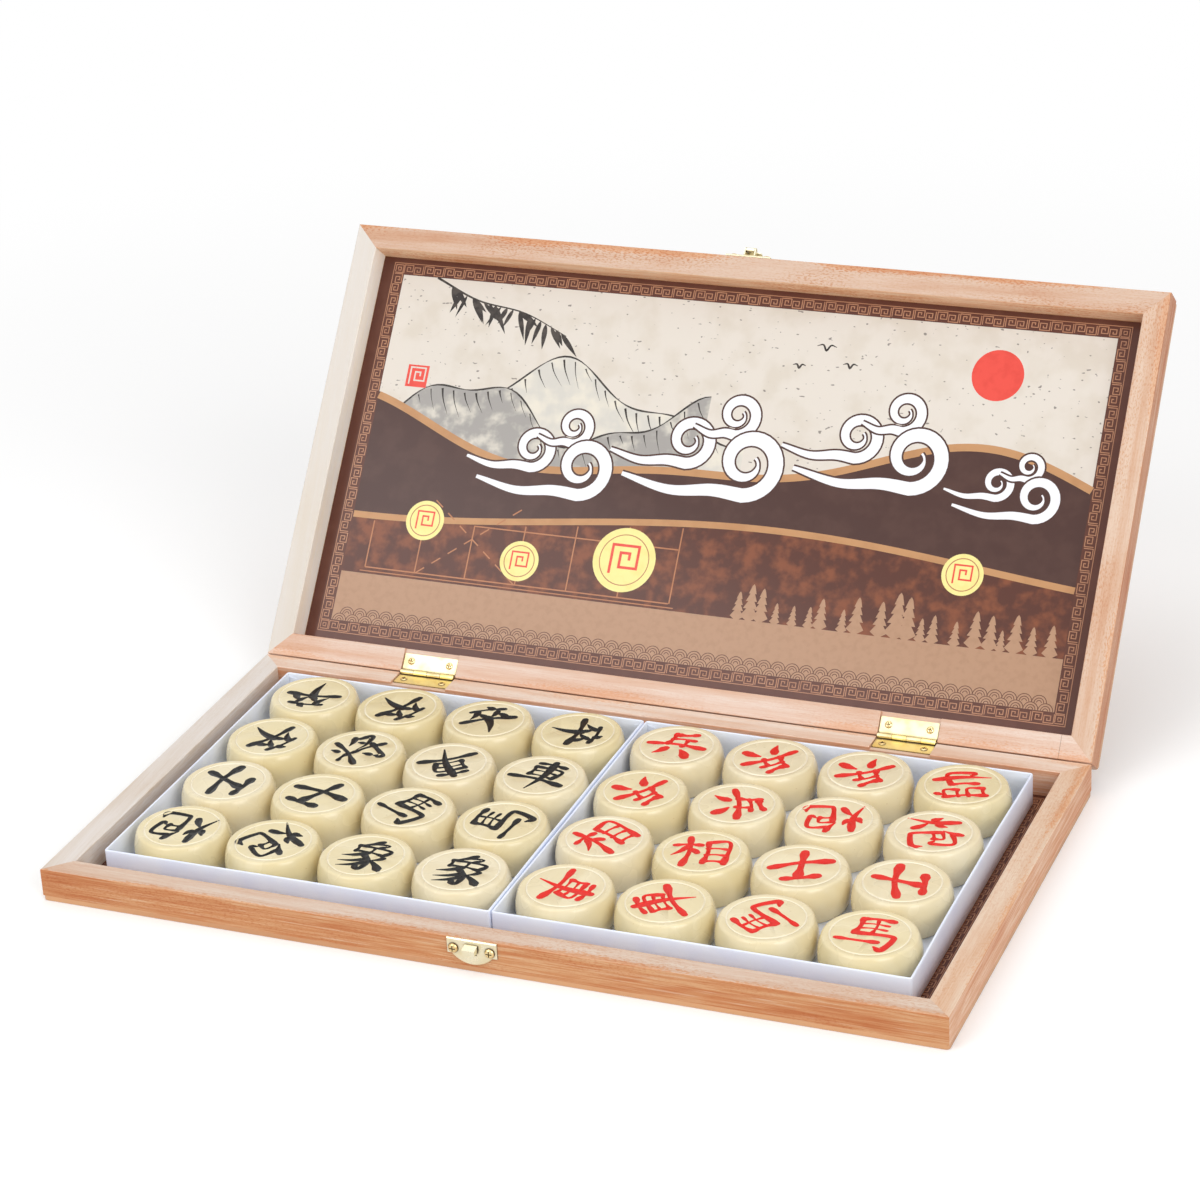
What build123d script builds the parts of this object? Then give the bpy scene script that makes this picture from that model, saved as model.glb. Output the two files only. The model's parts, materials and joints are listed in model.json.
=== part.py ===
from build123d import *
from math import cos, radians, sin
import os

# Folding xiangqi box: two shallow wooden halves on brass hinges, two card trays and 32 pieces.
# Origin: middle of the base's underside.  +X to the right, +Y towards the hinges, +Z up.
# The lid is drawn at its resting opening angle.  Millimetres throughout.
# The pieces set the trays' length and width, and the trays set the box's.
os.makedirs("parts", exist_ok=True)

# --- the two wooden halves -------------------------------------------------------------
end_finger_gap = 9.0  # tray to side rail
side_finger_gap = 7.5  # tray to front rail and to rear rail
rail_width = 10.5  # rim seen from above
rail_height = 12.0
rail_edge_round = 0.5
panel_thickness = 2.0
panel_corner_radius = 1.5
lid_opening_angle = 128.5  # from closed, as the box stands open
print_thickness = 0.3  # the printed sheets glued inside both halves
print_clearance = 0.3  # sheet edge to rail

# --- hinges ----------------------------------------------------------------------------
hinge_spacing = 220.0  # between the two hinges' middles
hinge_length = 25.5
hinge_clearance = 0.15  # from the axis to the rim plane, and to the rear face
knuckle_count = 4  # alternate between the two leaves
knuckle_gap = 0.15
barrel_radius = 1.2
barrel_relief = 0.25  # free space around a knuckle in the other half
hinge_pin_radius = 0.6
hinge_pin_overhang = 0.25
leaf_width = 8.5  # from the axis to the leaf's free edge
leaf_thickness = 0.6
mortise_side_clearance = 0.4
pin_fit = 0.03  # radial, every pin in its bore

# --- catch on the base, latch on the lid -----------------------------------------------
plate_width = 21.0
plate_side_height = 6.8  # of the plate's straight ends
plate_drop = 0.2  # from the rim to the plate's edge
plate_thickness = 0.8
plate_bevel = 0.35
plate_bow_half_width = 8.4  # where the rounded lower edge starts
plate_bow_depth = 3.9
hook_width = 5.3
hook_wall = 0.6
hook_reach = 3.4  # out from the plate
hook_root_depth = 1.9  # from the rim down to the hook's root
hook_slope_drop = 1.0
hook_tip_depth = 6.6  # from the rim down to the rounded tip
hook_side_depth = 4.8  # from the rim down to the side walls' end at the plate
arm_pin_radius = 0.45
arm_pin_standoff = 4.0  # pin axis out from the lid's front face
arm_pin_setback = 2.6  # pin axis back from the lid's rim
arm_barrel_radius = 0.9
arm_neck_width = 3.8
arm_thickness = 0.6
arm_frame_width = 8.6
arm_window_clearance = 0.3  # each side of the hook
arm_bar_clearance = 0.4  # below the hook's tip
arm_bar_depth = 1.0
arm_tongue_width = 3.0
arm_tongue_reach = 0.9  # inwards, under the hook
arm_tongue_height = 1.4  # up behind the hook's tip
arm_opening_angle = 201.0  # from latched to folded back on the lid's front
ear_thickness = 0.55
ear_side_clearance = 0.15
ear_foot_length = 5.5
ear_rim_radius = 0.95

# --- screws ----------------------------------------------------------------------------
hinge_screw_spacing = 18.2
hinge_screw_setback = 5.2  # from the hinge axis
hinge_screw_head_radius = 1.5
hinge_screw_head_height = 0.55
hinge_screw_length = 7.0
plate_screw_spacing = 15.2
plate_screw_depth = 4.35  # from the rim
plate_screw_head_radius = 2.0
plate_screw_head_height = 1.2
plate_screw_length = 8.0
screw_shank_radius = 0.9
screw_fit = 0.03  # radial, shank in the wood and in the brass
screw_rim_share = 0.35  # of the head's height, straight-sided
cross_slot_width = 0.45
cross_slot_share = 0.62  # of the head's radius
cross_slot_depth = 0.35

# --- card trays ------------------------------------------------------------------------
tray_end_play = 1.8  # outer columns to the tray's wall, with the set in the middle
tray_side_play = 1.5  # outer rows to the tray's wall
tray_height = 14.0
tray_wall = 1.0
tray_floor = 0.5
tray_gap = 0.6  # between the two trays

# --- pieces ----------------------------------------------------------------------------
piece_diameter = 40.0
piece_thickness = 16.0
piece_side_swell = 1.8  # the barrel-shaped side stands out this far past the flat faces
piece_edge_round = 0.6
ring_inset = 2.9  # turned ring round the mark, in from the flat face's edge
ring_width = 0.9
ring_depth = 0.35
column_gap = 1.2  # between neighbours along X
row_gap = 1.0  # between neighbours along Y
set_shift = {"black": 1.2, "red": -0.5}  # each set's middle, along X from its tray's middle
# what lies in each tray, rear row first
sets = {
    "black": (
        ["soldier", "soldier", "soldier", "soldier"],
        ["soldier", "general", "chariot", "chariot"],
        ["advisor", "advisor", "horse", "horse"],
        ["cannon", "cannon", "elephant", "elephant"],
    ),
    "red": (
        ["soldier", "soldier", "soldier", "general"],
        ["soldier", "soldier", "cannon", "cannon"],
        ["elephant", "elephant", "advisor", "advisor"],
        ["chariot", "chariot", "horse", "horse"],
    ),
}

# --- worked out from the sizes above ---------------------------------------------------
piece_face_radius = piece_diameter / 2 - piece_side_swell
ring_radius = piece_face_radius - ring_inset
column_pitch = piece_diameter + column_gap
row_pitch = piece_diameter + row_gap
row_count = len(sets["black"])
column_count = len(sets["black"][0])
tray_length = column_count * column_pitch - column_gap + 2 * (tray_end_play + tray_wall)  # along X
tray_width = row_count * row_pitch - row_gap + 2 * (tray_side_play + tray_wall)
box_length = 2 * (rail_width + end_finger_gap + tray_length) + tray_gap  # along X, outside
half_width = 2 * (rail_width + side_finger_gap) + tray_width  # front to hinge side, outside
half_height = panel_thickness + rail_height
axis_y = half_width / 2 + hinge_clearance
axis_z = half_height + hinge_clearance
mortise_depth = barrel_radius - hinge_clearance + barrel_relief
leaf_seat_z = half_height - mortise_depth
hinge_screw_y = axis_y - hinge_screw_setback
knuckle_pitch = hinge_length / knuckle_count
floor_z = panel_thickness + print_thickness

# Each half is drawn in its own frame: origin in the middle of its panel's outer face, +Z
# towards its rim and +Y towards the hinges.  The lid's frame is the base's, turned over.
opening = radians(lid_opening_angle)
lid_up = Vector(0, -cos(opening), sin(opening))  # from the hinges to the lid's front rail
lid_out = Vector(0, sin(opening), cos(opening))  # from the lid's rim to its panel
base_frame = Plane.XY
lid_frame = Plane(
    origin=Vector(0, axis_y, axis_z) + lid_up * axis_y + lid_out * axis_z,
    x_dir=(-1, 0, 0),
    z_dir=-lid_out,
)


def moved(plane, x=0.0, y=0.0, z=0.0):
    """The same plane with its origin moved in its own coordinates."""
    return Plane(plane.location * Location((x, y, z)))


def turned(plane, about_x=0.0, about_z=0.0):
    """The plane turned about its own X or Z axis, in degrees."""
    return Plane(plane.location * Location((0, 0, 0), (about_x, 0, about_z)))


def front_face(frame):
    """Plane on a half's front face: origin on the rim, +Y towards the rim, +Z outwards."""
    corner = frame.from_local_coords(Vector(0, -half_width / 2, half_height))
    return Plane(corner, frame.x_dir, -frame.y_dir)


def across(plane, x=0.0):
    """Plane square to another one's X axis, sharing its origin: +X is its Y, +Y is its Z."""
    return Plane(plane.from_local_coords(Vector(x, 0, 0)), plane.y_dir, plane.x_dir)


def save(part, name):
    part.label = name
    export_step(part, f"parts/{name}.step")


# --- wooden rails, mitred at the corners ------------------------------------------------
def rail(frame, name, run, offset, turn):
    """run is the outer length, offset the outer face's distance from the half's middle."""
    level = turned(moved(frame, z=panel_thickness), about_z=turn)
    inner_run = run - 2 * rail_width
    rim = Axis(level.origin, level.z_dir)
    with BuildPart() as piece:
        with BuildSketch(level):
            with BuildLine():
                Polyline(
                    (-run / 2, -offset),
                    (run / 2, -offset),
                    (inner_run / 2, rail_width - offset),
                    (-inner_run / 2, rail_width - offset),
                    close=True,
                )
            make_face()
        extrude(amount=rail_height)
        rim_edges = piece.faces().sort_by(rim)[-1].edges().filter_by(Axis(level.origin, level.x_dir))
        fillet(rim_edges, rail_edge_round)
        if name.endswith("rear_rail"):
            hinge_places = GridLocations(hinge_spacing, 1, 2, 1)
            with BuildSketch(moved(frame, y=half_width / 2 - rail_width / 2, z=leaf_seat_z)):
                with hinge_places:
                    Rectangle(hinge_length + 2 * mortise_side_clearance, 2 * rail_width)
            extrude(amount=2 * mortise_depth, mode=Mode.SUBTRACT)
            with BuildSketch(moved(frame, y=hinge_screw_y, z=leaf_seat_z)):
                with hinge_places:
                    with GridLocations(hinge_screw_spacing, 1, 2, 1):
                        Circle(screw_shank_radius + screw_fit)
            extrude(amount=-hinge_screw_length, mode=Mode.SUBTRACT)
        if name.endswith("front_rail"):
            with BuildSketch(moved(front_face(frame), y=-plate_screw_depth)):
                with GridLocations(plate_screw_spacing, 1, 2, 1):
                    Circle(screw_shank_radius + screw_fit)
            extrude(amount=-plate_screw_length, mode=Mode.SUBTRACT)
    save(piece.part, name)


# --- thin board that closes each half and carries half of the playing grid outside ------
def panel(frame, name):
    with BuildPart() as piece:
        with BuildSketch(frame):
            RectangleRounded(box_length, half_width, panel_corner_radius)
        extrude(amount=panel_thickness)
    save(piece.part, name)


# --- printed sheet glued on the panel, inside the rails ----------------------------------
def printed_sheet(frame, name):
    inside = 2 * rail_width + 2 * print_clearance
    with BuildPart() as piece:
        with BuildSketch(moved(frame, z=panel_thickness)):
            Rectangle(box_length - inside, half_width - inside)
        extrude(amount=print_thickness)
    save(piece.part, name)


for half, frame, sides in (
    ("base", base_frame, ("front", "right", "rear", "left")),
    ("lid", lid_frame, ("front", "left", "rear", "right")),
):
    for quarter, side in enumerate(sides):
        lengthwise = quarter % 2 == 0
        run = box_length if lengthwise else half_width
        offset = (half_width if lengthwise else box_length) / 2
        rail(frame, f"{half}_{side}_rail", run, offset, 90 * quarter)
    panel(frame, f"{half}_panel")
printed_sheet(base_frame, "base_printed_sheet")
printed_sheet(lid_frame, "lid_printed_card")


# --- butt hinges let into both rear rails ------------------------------------------------
def hinge_leaf(frame, name, hinge_x):
    """Both leaves are alike: each carries the second and fourth knuckle from its own left."""
    seat = moved(frame, x=hinge_x, y=axis_y, z=leaf_seat_z)
    first_x = -hinge_length / 2 + knuckle_pitch / 2
    bore_radius = hinge_pin_radius + pin_fit
    notch_depth = barrel_radius + barrel_relief
    with BuildPart() as leaf:
        with BuildSketch(moved(seat, y=-leaf_width / 2)):
            Rectangle(hinge_length, leaf_width)
            with GridLocations(hinge_screw_spacing, 1, 2, 1):
                with Locations((0, leaf_width / 2 - hinge_screw_setback)):
                    Circle(screw_shank_radius + screw_fit, mode=Mode.SUBTRACT)
        extrude(amount=leaf_thickness)
        for index in range(knuckle_count):
            middle_x = first_x + index * knuckle_pitch
            if index % 2 == 0:
                with BuildSketch(moved(seat, x=middle_x, y=-notch_depth / 2)):
                    Rectangle(knuckle_pitch + knuckle_gap, notch_depth)
                extrude(amount=leaf_thickness, mode=Mode.SUBTRACT)
        for index in range(1, knuckle_count, 2):
            middle_x = first_x + index * knuckle_pitch
            knuckle_start = across(moved(seat, z=axis_z - leaf_seat_z), middle_x)
            with BuildSketch(knuckle_start):
                Circle(barrel_radius)
            extrude(amount=(knuckle_pitch - knuckle_gap) / 2, both=True)
        with BuildSketch(across(moved(seat, z=axis_z - leaf_seat_z))):
            Circle(bore_radius)
        extrude(amount=hinge_length, both=True, mode=Mode.SUBTRACT)
    save(leaf.part, name)


def hinge_pin(name, hinge_x):
    with BuildPart() as pin:
        with BuildSketch(across(moved(base_frame, y=axis_y, z=axis_z), hinge_x)):
            Circle(hinge_pin_radius)
        extrude(amount=hinge_length / 2 + hinge_pin_overhang, both=True)
    save(pin.part, name)


for side, hinge_x in (("left", -hinge_spacing / 2), ("right", hinge_spacing / 2)):
    hinge_leaf(base_frame, f"{side}_hinge_base_leaf", hinge_x)
    hinge_leaf(lid_frame, f"{side}_hinge_lid_leaf", -hinge_x)
    hinge_pin(f"{side}_hinge_pin", hinge_x)


# --- pan-head screws with a cross recess -------------------------------------------------
def screws(seats, name, head_radius, head_height, length):
    """One screw on each seat plane, its head standing on the plane."""
    slot_length = 2 * cross_slot_share * head_radius
    rim_height = screw_rim_share * head_height
    with BuildPart() as group:
        for seat in seats:
            with BuildSketch(Plane(seat.origin, seat.x_dir, -seat.y_dir)):
                with BuildLine():
                    crown = ThreePointArc(
                        (head_radius, rim_height),
                        (head_radius * sin(radians(60)), (head_height + rim_height) / 2),
                        (head_radius / 2, head_height),
                    )
                    Polyline(
                        crown @ 1,
                        (0, head_height),
                        (0, -length),
                        (screw_shank_radius, -length),
                        (screw_shank_radius, 0),
                        (head_radius, 0),
                        crown @ 0,
                    )
                make_face()
            revolve(axis=Axis(seat.origin, seat.z_dir))
            with BuildSketch(moved(seat, z=head_height)):
                Rectangle(slot_length, cross_slot_width)
                Rectangle(cross_slot_width, slot_length)
            extrude(amount=-cross_slot_depth, mode=Mode.SUBTRACT)
    save(group.part, name)


def hinge_screw_seats(frame):
    half_pair = hinge_screw_spacing / 2
    places = [side * hinge_spacing / 2 + end * half_pair for side in (-1, 1) for end in (-1, 1)]
    return [moved(frame, x=x, y=hinge_screw_y, z=leaf_seat_z + leaf_thickness) for x in places]


def plate_screw_seats(frame):
    half_pair = plate_screw_spacing / 2
    face = front_face(frame)
    return [moved(face, x=x, y=-plate_screw_depth, z=plate_thickness) for x in (-half_pair, half_pair)]


for half, frame in (("base", base_frame), ("lid", lid_frame)):
    screws(
        hinge_screw_seats(frame),
        f"{half}_hinge_screws",
        hinge_screw_head_radius,
        hinge_screw_head_height,
        hinge_screw_length - leaf_thickness,
    )
for name, frame in (("catch_screws", base_frame), ("latch_screws", lid_frame)):
    screws(
        plate_screw_seats(frame),
        name,
        plate_screw_head_radius,
        plate_screw_head_height,
        plate_screw_length - plate_thickness,
    )


# --- pressed brass plates on the two front rails -----------------------------------------
# outline, rim at Y = 0: straight along the rim, square ends, bowed away from the rim
plate_top = -plate_drop
plate_shoulder = plate_top - plate_side_height
with BuildSketch() as plate_outline:
    with BuildLine():
        Polyline(
            (-plate_bow_half_width, plate_shoulder),
            (-plate_width / 2, plate_shoulder),
            (-plate_width / 2, plate_top),
            (plate_width / 2, plate_top),
            (plate_width / 2, plate_shoulder),
            (plate_bow_half_width, plate_shoulder),
        )
        ThreePointArc(
            (plate_bow_half_width, plate_shoulder),
            (0, plate_shoulder - plate_bow_depth),
            (-plate_bow_half_width, plate_shoulder),
        )
    make_face()


def blank_plate(face):
    """The plate before anything is pressed out of it: bevelled, and drilled for two screws."""
    with BuildPart() as blank:
        with BuildSketch(face):
            add(plate_outline.sketch)
        extrude(amount=plate_thickness)
        outside = blank.faces().sort_by(Axis(face.origin, face.z_dir))[-1]
        chamfer(outside.edges(), plate_bevel)
        with BuildSketch(moved(face, y=-plate_screw_depth)):
            with GridLocations(plate_screw_spacing, 1, 2, 1):
                Circle(screw_shank_radius + screw_fit)
        extrude(amount=plate_thickness, mode=Mode.SUBTRACT)
    return blank.part


# the catch: a hook pressed out of the plate, open underneath
catch_face = front_face(base_frame)
hook_front = plate_thickness + hook_reach
hook_tip_radius = hook_width / 2
with BuildPart() as hook:
    with BuildSketch(across(catch_face)):
        Polygon(
            (-hook_root_depth, 0),
            (-hook_root_depth, plate_thickness),
            (-hook_root_depth - hook_slope_drop, hook_front),
            (-hook_tip_depth, hook_front),
            (-hook_side_depth, 0),
            align=None,
        )
    extrude(amount=hook_width / 2, both=True)
    with BuildSketch(catch_face):
        with Locations((0, -(hook_root_depth + hook_tip_depth - hook_tip_radius) / 2)):
            Rectangle(hook_width, hook_tip_depth - hook_tip_radius - hook_root_depth)
        with Locations((0, hook_tip_radius - hook_tip_depth)):
            Circle(hook_tip_radius)
    extrude(amount=hook_front, mode=Mode.INTERSECT)
with BuildPart() as catch_plate:
    add(blank_plate(catch_face))
    add(hook.part)
    with BuildSketch(across(catch_face)):
        Polygon(
            (-hook_root_depth - hook_wall, 0),
            (-hook_root_depth - hook_wall, plate_thickness),
            (-hook_root_depth - hook_slope_drop - hook_wall, hook_front - hook_wall),
            (-hook_tip_depth, hook_front - hook_wall),
            (-hook_tip_depth, 0),
            align=None,
        )
    extrude(amount=hook_width / 2 - hook_wall, both=True, mode=Mode.SUBTRACT)
save(catch_plate.part, "catch_plate")

# the latch plate: two ears folded up out of the window between them carry the arm's pin
latch_face = front_face(lid_frame)
ear_inside = arm_neck_width / 2 + ear_side_clearance
with BuildPart() as latch_plate:
    add(blank_plate(latch_face))
    for ear_x in (ear_inside, -ear_inside - ear_thickness):
        with BuildSketch(across(latch_face, ear_x)):
            with Locations((-arm_pin_setback, arm_pin_standoff)):
                Circle(ear_rim_radius)
            with Locations((-arm_pin_setback + ear_rim_radius - ear_foot_length / 2, plate_thickness / 2)):
                Rectangle(ear_foot_length, plate_thickness)
            make_hull()
        extrude(amount=ear_thickness)
    with BuildSketch(moved(latch_face, y=-arm_pin_setback - ear_foot_length / 4)):
        Rectangle(2 * ear_inside, ear_foot_length / 2)
    extrude(amount=plate_thickness, mode=Mode.SUBTRACT)
    with BuildSketch(across(moved(latch_face, y=-arm_pin_setback, z=arm_pin_standoff))):
        Circle(arm_pin_radius + pin_fit)
    extrude(amount=plate_width, both=True, mode=Mode.SUBTRACT)
save(latch_plate.part, "latch_plate")

with BuildPart() as latch_pin:
    with BuildSketch(across(moved(latch_face, y=-arm_pin_setback, z=arm_pin_standoff))):
        Circle(arm_pin_radius)
    extrude(amount=ear_inside + ear_thickness + pin_fit, both=True)
save(latch_pin.part, "latch_pin")

# the arm: a strap rolled round the pin, with a window that drops over the catch's hook.
# Drawn from the pin along +Y with +Z outwards, as it lies when latched, in a plane that is
# swung about the pin to where the arm rests, folded back over the lid's front.
pin_plane = moved(latch_face, y=-arm_pin_setback, z=arm_pin_standoff)
arm_plane = turned(pin_plane, about_x=arm_opening_angle)
rim_to_rim = 2 * hinge_clearance
to_hook_root = arm_pin_setback + rim_to_rim + hook_root_depth
to_hook_tip = arm_pin_setback + rim_to_rim + hook_tip_depth
arm_length = to_hook_tip + arm_bar_clearance + arm_bar_depth
window_top = to_hook_root - 2 * arm_window_clearance
window_bottom = to_hook_tip + arm_bar_clearance
strap_z = -arm_barrel_radius
shoulder_y = arm_pin_setback + hinge_clearance
tongue_z = strap_z - arm_tongue_reach
with BuildPart() as latch_arm:
    with BuildSketch(across(arm_plane)):
        Circle(arm_barrel_radius)
    extrude(amount=arm_neck_width / 2, both=True)
    with BuildSketch(moved(arm_plane, z=strap_z)):
        with Locations((0, shoulder_y / 2)):
            Rectangle(arm_neck_width, shoulder_y)
        with Locations((0, (shoulder_y + arm_length) / 2)):
            RectangleRounded(arm_frame_width, arm_length - shoulder_y, arm_bar_depth)
        with Locations((0, (window_top + window_bottom) / 2)):
            Rectangle(hook_width + 2 * arm_window_clearance, window_bottom - window_top, mode=Mode.SUBTRACT)
    extrude(amount=arm_thickness)
    with BuildSketch(moved(arm_plane, y=window_bottom + arm_bar_depth / 2, z=tongue_z)):
        Rectangle(arm_tongue_width, arm_bar_depth)
    extrude(amount=arm_tongue_reach)
    with BuildSketch(moved(arm_plane, y=window_bottom - arm_tongue_height / 2, z=tongue_z)):
        Rectangle(arm_tongue_width, arm_tongue_height)
    extrude(amount=arm_thickness)
    with BuildSketch(across(arm_plane)):
        Circle(arm_pin_radius + pin_fit)
    extrude(amount=arm_neck_width, both=True, mode=Mode.SUBTRACT)
save(latch_arm.part, "latch_arm")


# --- card trays standing on the base's printed sheet --------------------------------------
tray_middle_x = (tray_length + tray_gap) / 2


def tray(name, middle_x):
    with BuildPart() as box:
        with BuildSketch(moved(base_frame, x=middle_x, z=floor_z)):
            Rectangle(tray_length, tray_width)
        extrude(amount=tray_height)
        with BuildSketch(moved(base_frame, x=middle_x, z=floor_z + tray_floor)):
            Rectangle(tray_length - 2 * tray_wall, tray_width - 2 * tray_wall)
        extrude(amount=tray_height, mode=Mode.SUBTRACT)
    save(box.part, name)


# --- turned wooden pieces -----------------------------------------------------------------
def chess_piece(name, x, y):
    """Flat faces, barrel-shaped side and a shallow turned ring on the upper face."""
    middle = Plane(origin=(x, y, floor_z + tray_floor), x_dir=(1, 0, 0), z_dir=(0, -1, 0))
    with BuildPart() as disc:
        with BuildSketch(middle):
            with BuildLine():
                Polyline(
                    (piece_face_radius, 0),
                    (0, 0),
                    (0, piece_thickness),
                    (ring_radius - ring_width / 2, piece_thickness),
                    (ring_radius, piece_thickness - ring_depth),
                    (ring_radius + ring_width / 2, piece_thickness),
                    (piece_face_radius, piece_thickness),
                )
                ThreePointArc(
                    (piece_face_radius, piece_thickness),
                    (piece_diameter / 2, piece_thickness / 2),
                    (piece_face_radius, 0),
                )
            make_face()
        revolve(axis=Axis((x, y, 0), (0, 0, 1)))
        face_rims = disc.edges().filter_by(GeomType.CIRCLE).sort_by(SortBy.RADIUS)[-2:]
        fillet(face_rims, piece_edge_round)
    save(disc.part, name)


for colour, side in (("black", -1), ("red", 1)):
    tray(f"{colour}_tray", side * tray_middle_x)
    set_x = side * tray_middle_x + set_shift[colour]
    counts = {}
    for row_index, row in enumerate(sets[colour]):
        for column_index, kind in enumerate(row):
            counts[kind] = counts.get(kind, 0) + 1
            single = kind == "general"
            name = f"{colour}_{kind}" if single else f"{colour}_{kind}_{counts[kind]}"
            column_x = set_x + (column_index - (column_count - 1) / 2) * column_pitch
            row_y = ((row_count - 1) / 2 - row_index) * row_pitch
            chess_piece(name, column_x, row_y)
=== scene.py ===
import json
import random
from math import cos, pi, radians, sin, tau

import bmesh
import bpy
import numpy as np
from mathutils import Euler, Matrix, Vector
from mathutils.geometry import delaunay_2d_cdt


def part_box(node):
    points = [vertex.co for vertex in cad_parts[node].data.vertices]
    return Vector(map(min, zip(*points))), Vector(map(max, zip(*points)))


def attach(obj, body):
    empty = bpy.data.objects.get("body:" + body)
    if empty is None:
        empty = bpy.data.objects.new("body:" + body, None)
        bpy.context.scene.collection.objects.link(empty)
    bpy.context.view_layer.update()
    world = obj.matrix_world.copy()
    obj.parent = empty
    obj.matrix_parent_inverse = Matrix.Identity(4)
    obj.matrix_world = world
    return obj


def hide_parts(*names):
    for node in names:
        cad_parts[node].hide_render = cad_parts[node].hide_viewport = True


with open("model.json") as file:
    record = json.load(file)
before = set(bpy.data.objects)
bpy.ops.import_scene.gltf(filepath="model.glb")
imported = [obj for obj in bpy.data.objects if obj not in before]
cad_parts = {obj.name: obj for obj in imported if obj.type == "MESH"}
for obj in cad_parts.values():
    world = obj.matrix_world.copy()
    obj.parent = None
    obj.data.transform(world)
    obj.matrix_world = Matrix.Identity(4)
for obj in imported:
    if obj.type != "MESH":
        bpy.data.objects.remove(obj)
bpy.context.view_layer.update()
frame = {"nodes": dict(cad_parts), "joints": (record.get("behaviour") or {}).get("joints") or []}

# ---- Rails ---------------------------------------------------------------------------------
# Eight planed lengths of pale hardwood, four to each half, mitred and glued at the corners.
# The two left-hand rails are cream sapwood; the rest is pinkish beech with fine ray flecks.
mm = 0.001
lid_joint = next(joint for joint in frame["joints"] if joint["name"] == "lid_hinge")
lid_opening = radians(-lid_joint["range_deg"][0])
lid_up = Vector((0, -cos(lid_opening), sin(lid_opening)))
lid_inward = Vector((0, -sin(lid_opening), -cos(lid_opening)))
lid_tilt = pi - lid_opening
end_joint_x = 174.7 * mm  # a short length is let into the lid's rear rail here
end_joint_width = 0.12 * mm
ring_tightness = 48  # growth rings to one swing of the figure
rim_figure = 0.28  # share of the figure that shows on a rail's rim


def srgb(red, green, blue):
    """A colour as it is seen, 0 to 255, in the renderer's own linear values."""
    seen = np.array([red, green, blue]) / 255
    return (*np.where(seen < 0.04045, seen / 12.92, ((seen + 0.055) / 1.055) ** 2.4), 1.0)


def node(tree, kind, inputs=None, output=0, **settings):
    """Adds one shader node. An input is a value, or another node's output to link to."""
    made = tree.nodes.new("ShaderNode" + kind)
    for setting, value in settings.items():
        setattr(made, setting, value)
    for socket, value in (inputs or {}).items():
        if isinstance(value, bpy.types.NodeSocket):
            tree.links.new(value, made.inputs[socket])
        else:
            made.inputs[socket].default_value = value
    return made.outputs[output] if made.outputs else None


def calc(tree, operation, first, second=0.0):
    return node(tree, "Math", {0: first, 1: second}, operation=operation)


def between(tree, value, low, high, to_low=0.0, to_high=1.0):
    """Value eased from to_low at low to to_high at high."""
    inputs = {0: value, 1: low, 2: high, 3: to_low, 4: to_high}
    return node(tree, "MapRange", inputs, interpolation_type="SMOOTHSTEP")


def mixed(tree, share, first, second, how="MIX"):
    """Two colours mixed, or the second laid over the first another way."""
    inputs = {0: share, 6: first, 7: second}
    return node(tree, "Mix", inputs, 2, data_type="RGBA", blend_type=how)


def grain(tree, place, size, detail=3.0, turn=(0, 0, 0), seed=0):
    """Soft noise whose lumps have this size in millimetres along each axis."""
    start = Vector((seed * 1.37, seed * 0.71, seed * 2.13)) * 10 * mm
    inputs = {0: place, 1: start, 2: turn, 3: [side * mm for side in size]}
    spread = node(tree, "Mapping", inputs, vector_type="TEXTURE")
    return node(tree, "TexNoise", {"Vector": spread, "Scale": 1.0, "Detail": detail})


def start_finish(name):
    """An empty material, its nodes, and the piece's own coordinates."""
    material = bpy.data.materials.new(name)
    material.use_nodes = True
    tree = material.node_tree
    tree.nodes.clear()
    return material, tree, node(tree, "TexCoord", output=3)


def end_finish(tree, colour, roughness, height=None, depth=0.0, **gloss):
    """Joins colour, roughness and relief into one surface. Depth is in millimetres."""
    inputs = {"Base Color": colour, "Roughness": roughness}
    if height is not None:
        inputs["Normal"] = node(tree, "Bump", {"Height": height, "Distance": depth * mm})
    for name, value in gloss.items():
        inputs[name.replace("_", " ").title().replace("Ior", "IOR")] = value
    surface = node(tree, "BsdfPrincipled", inputs)
    node(tree, "OutputMaterial", {0: surface})


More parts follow.
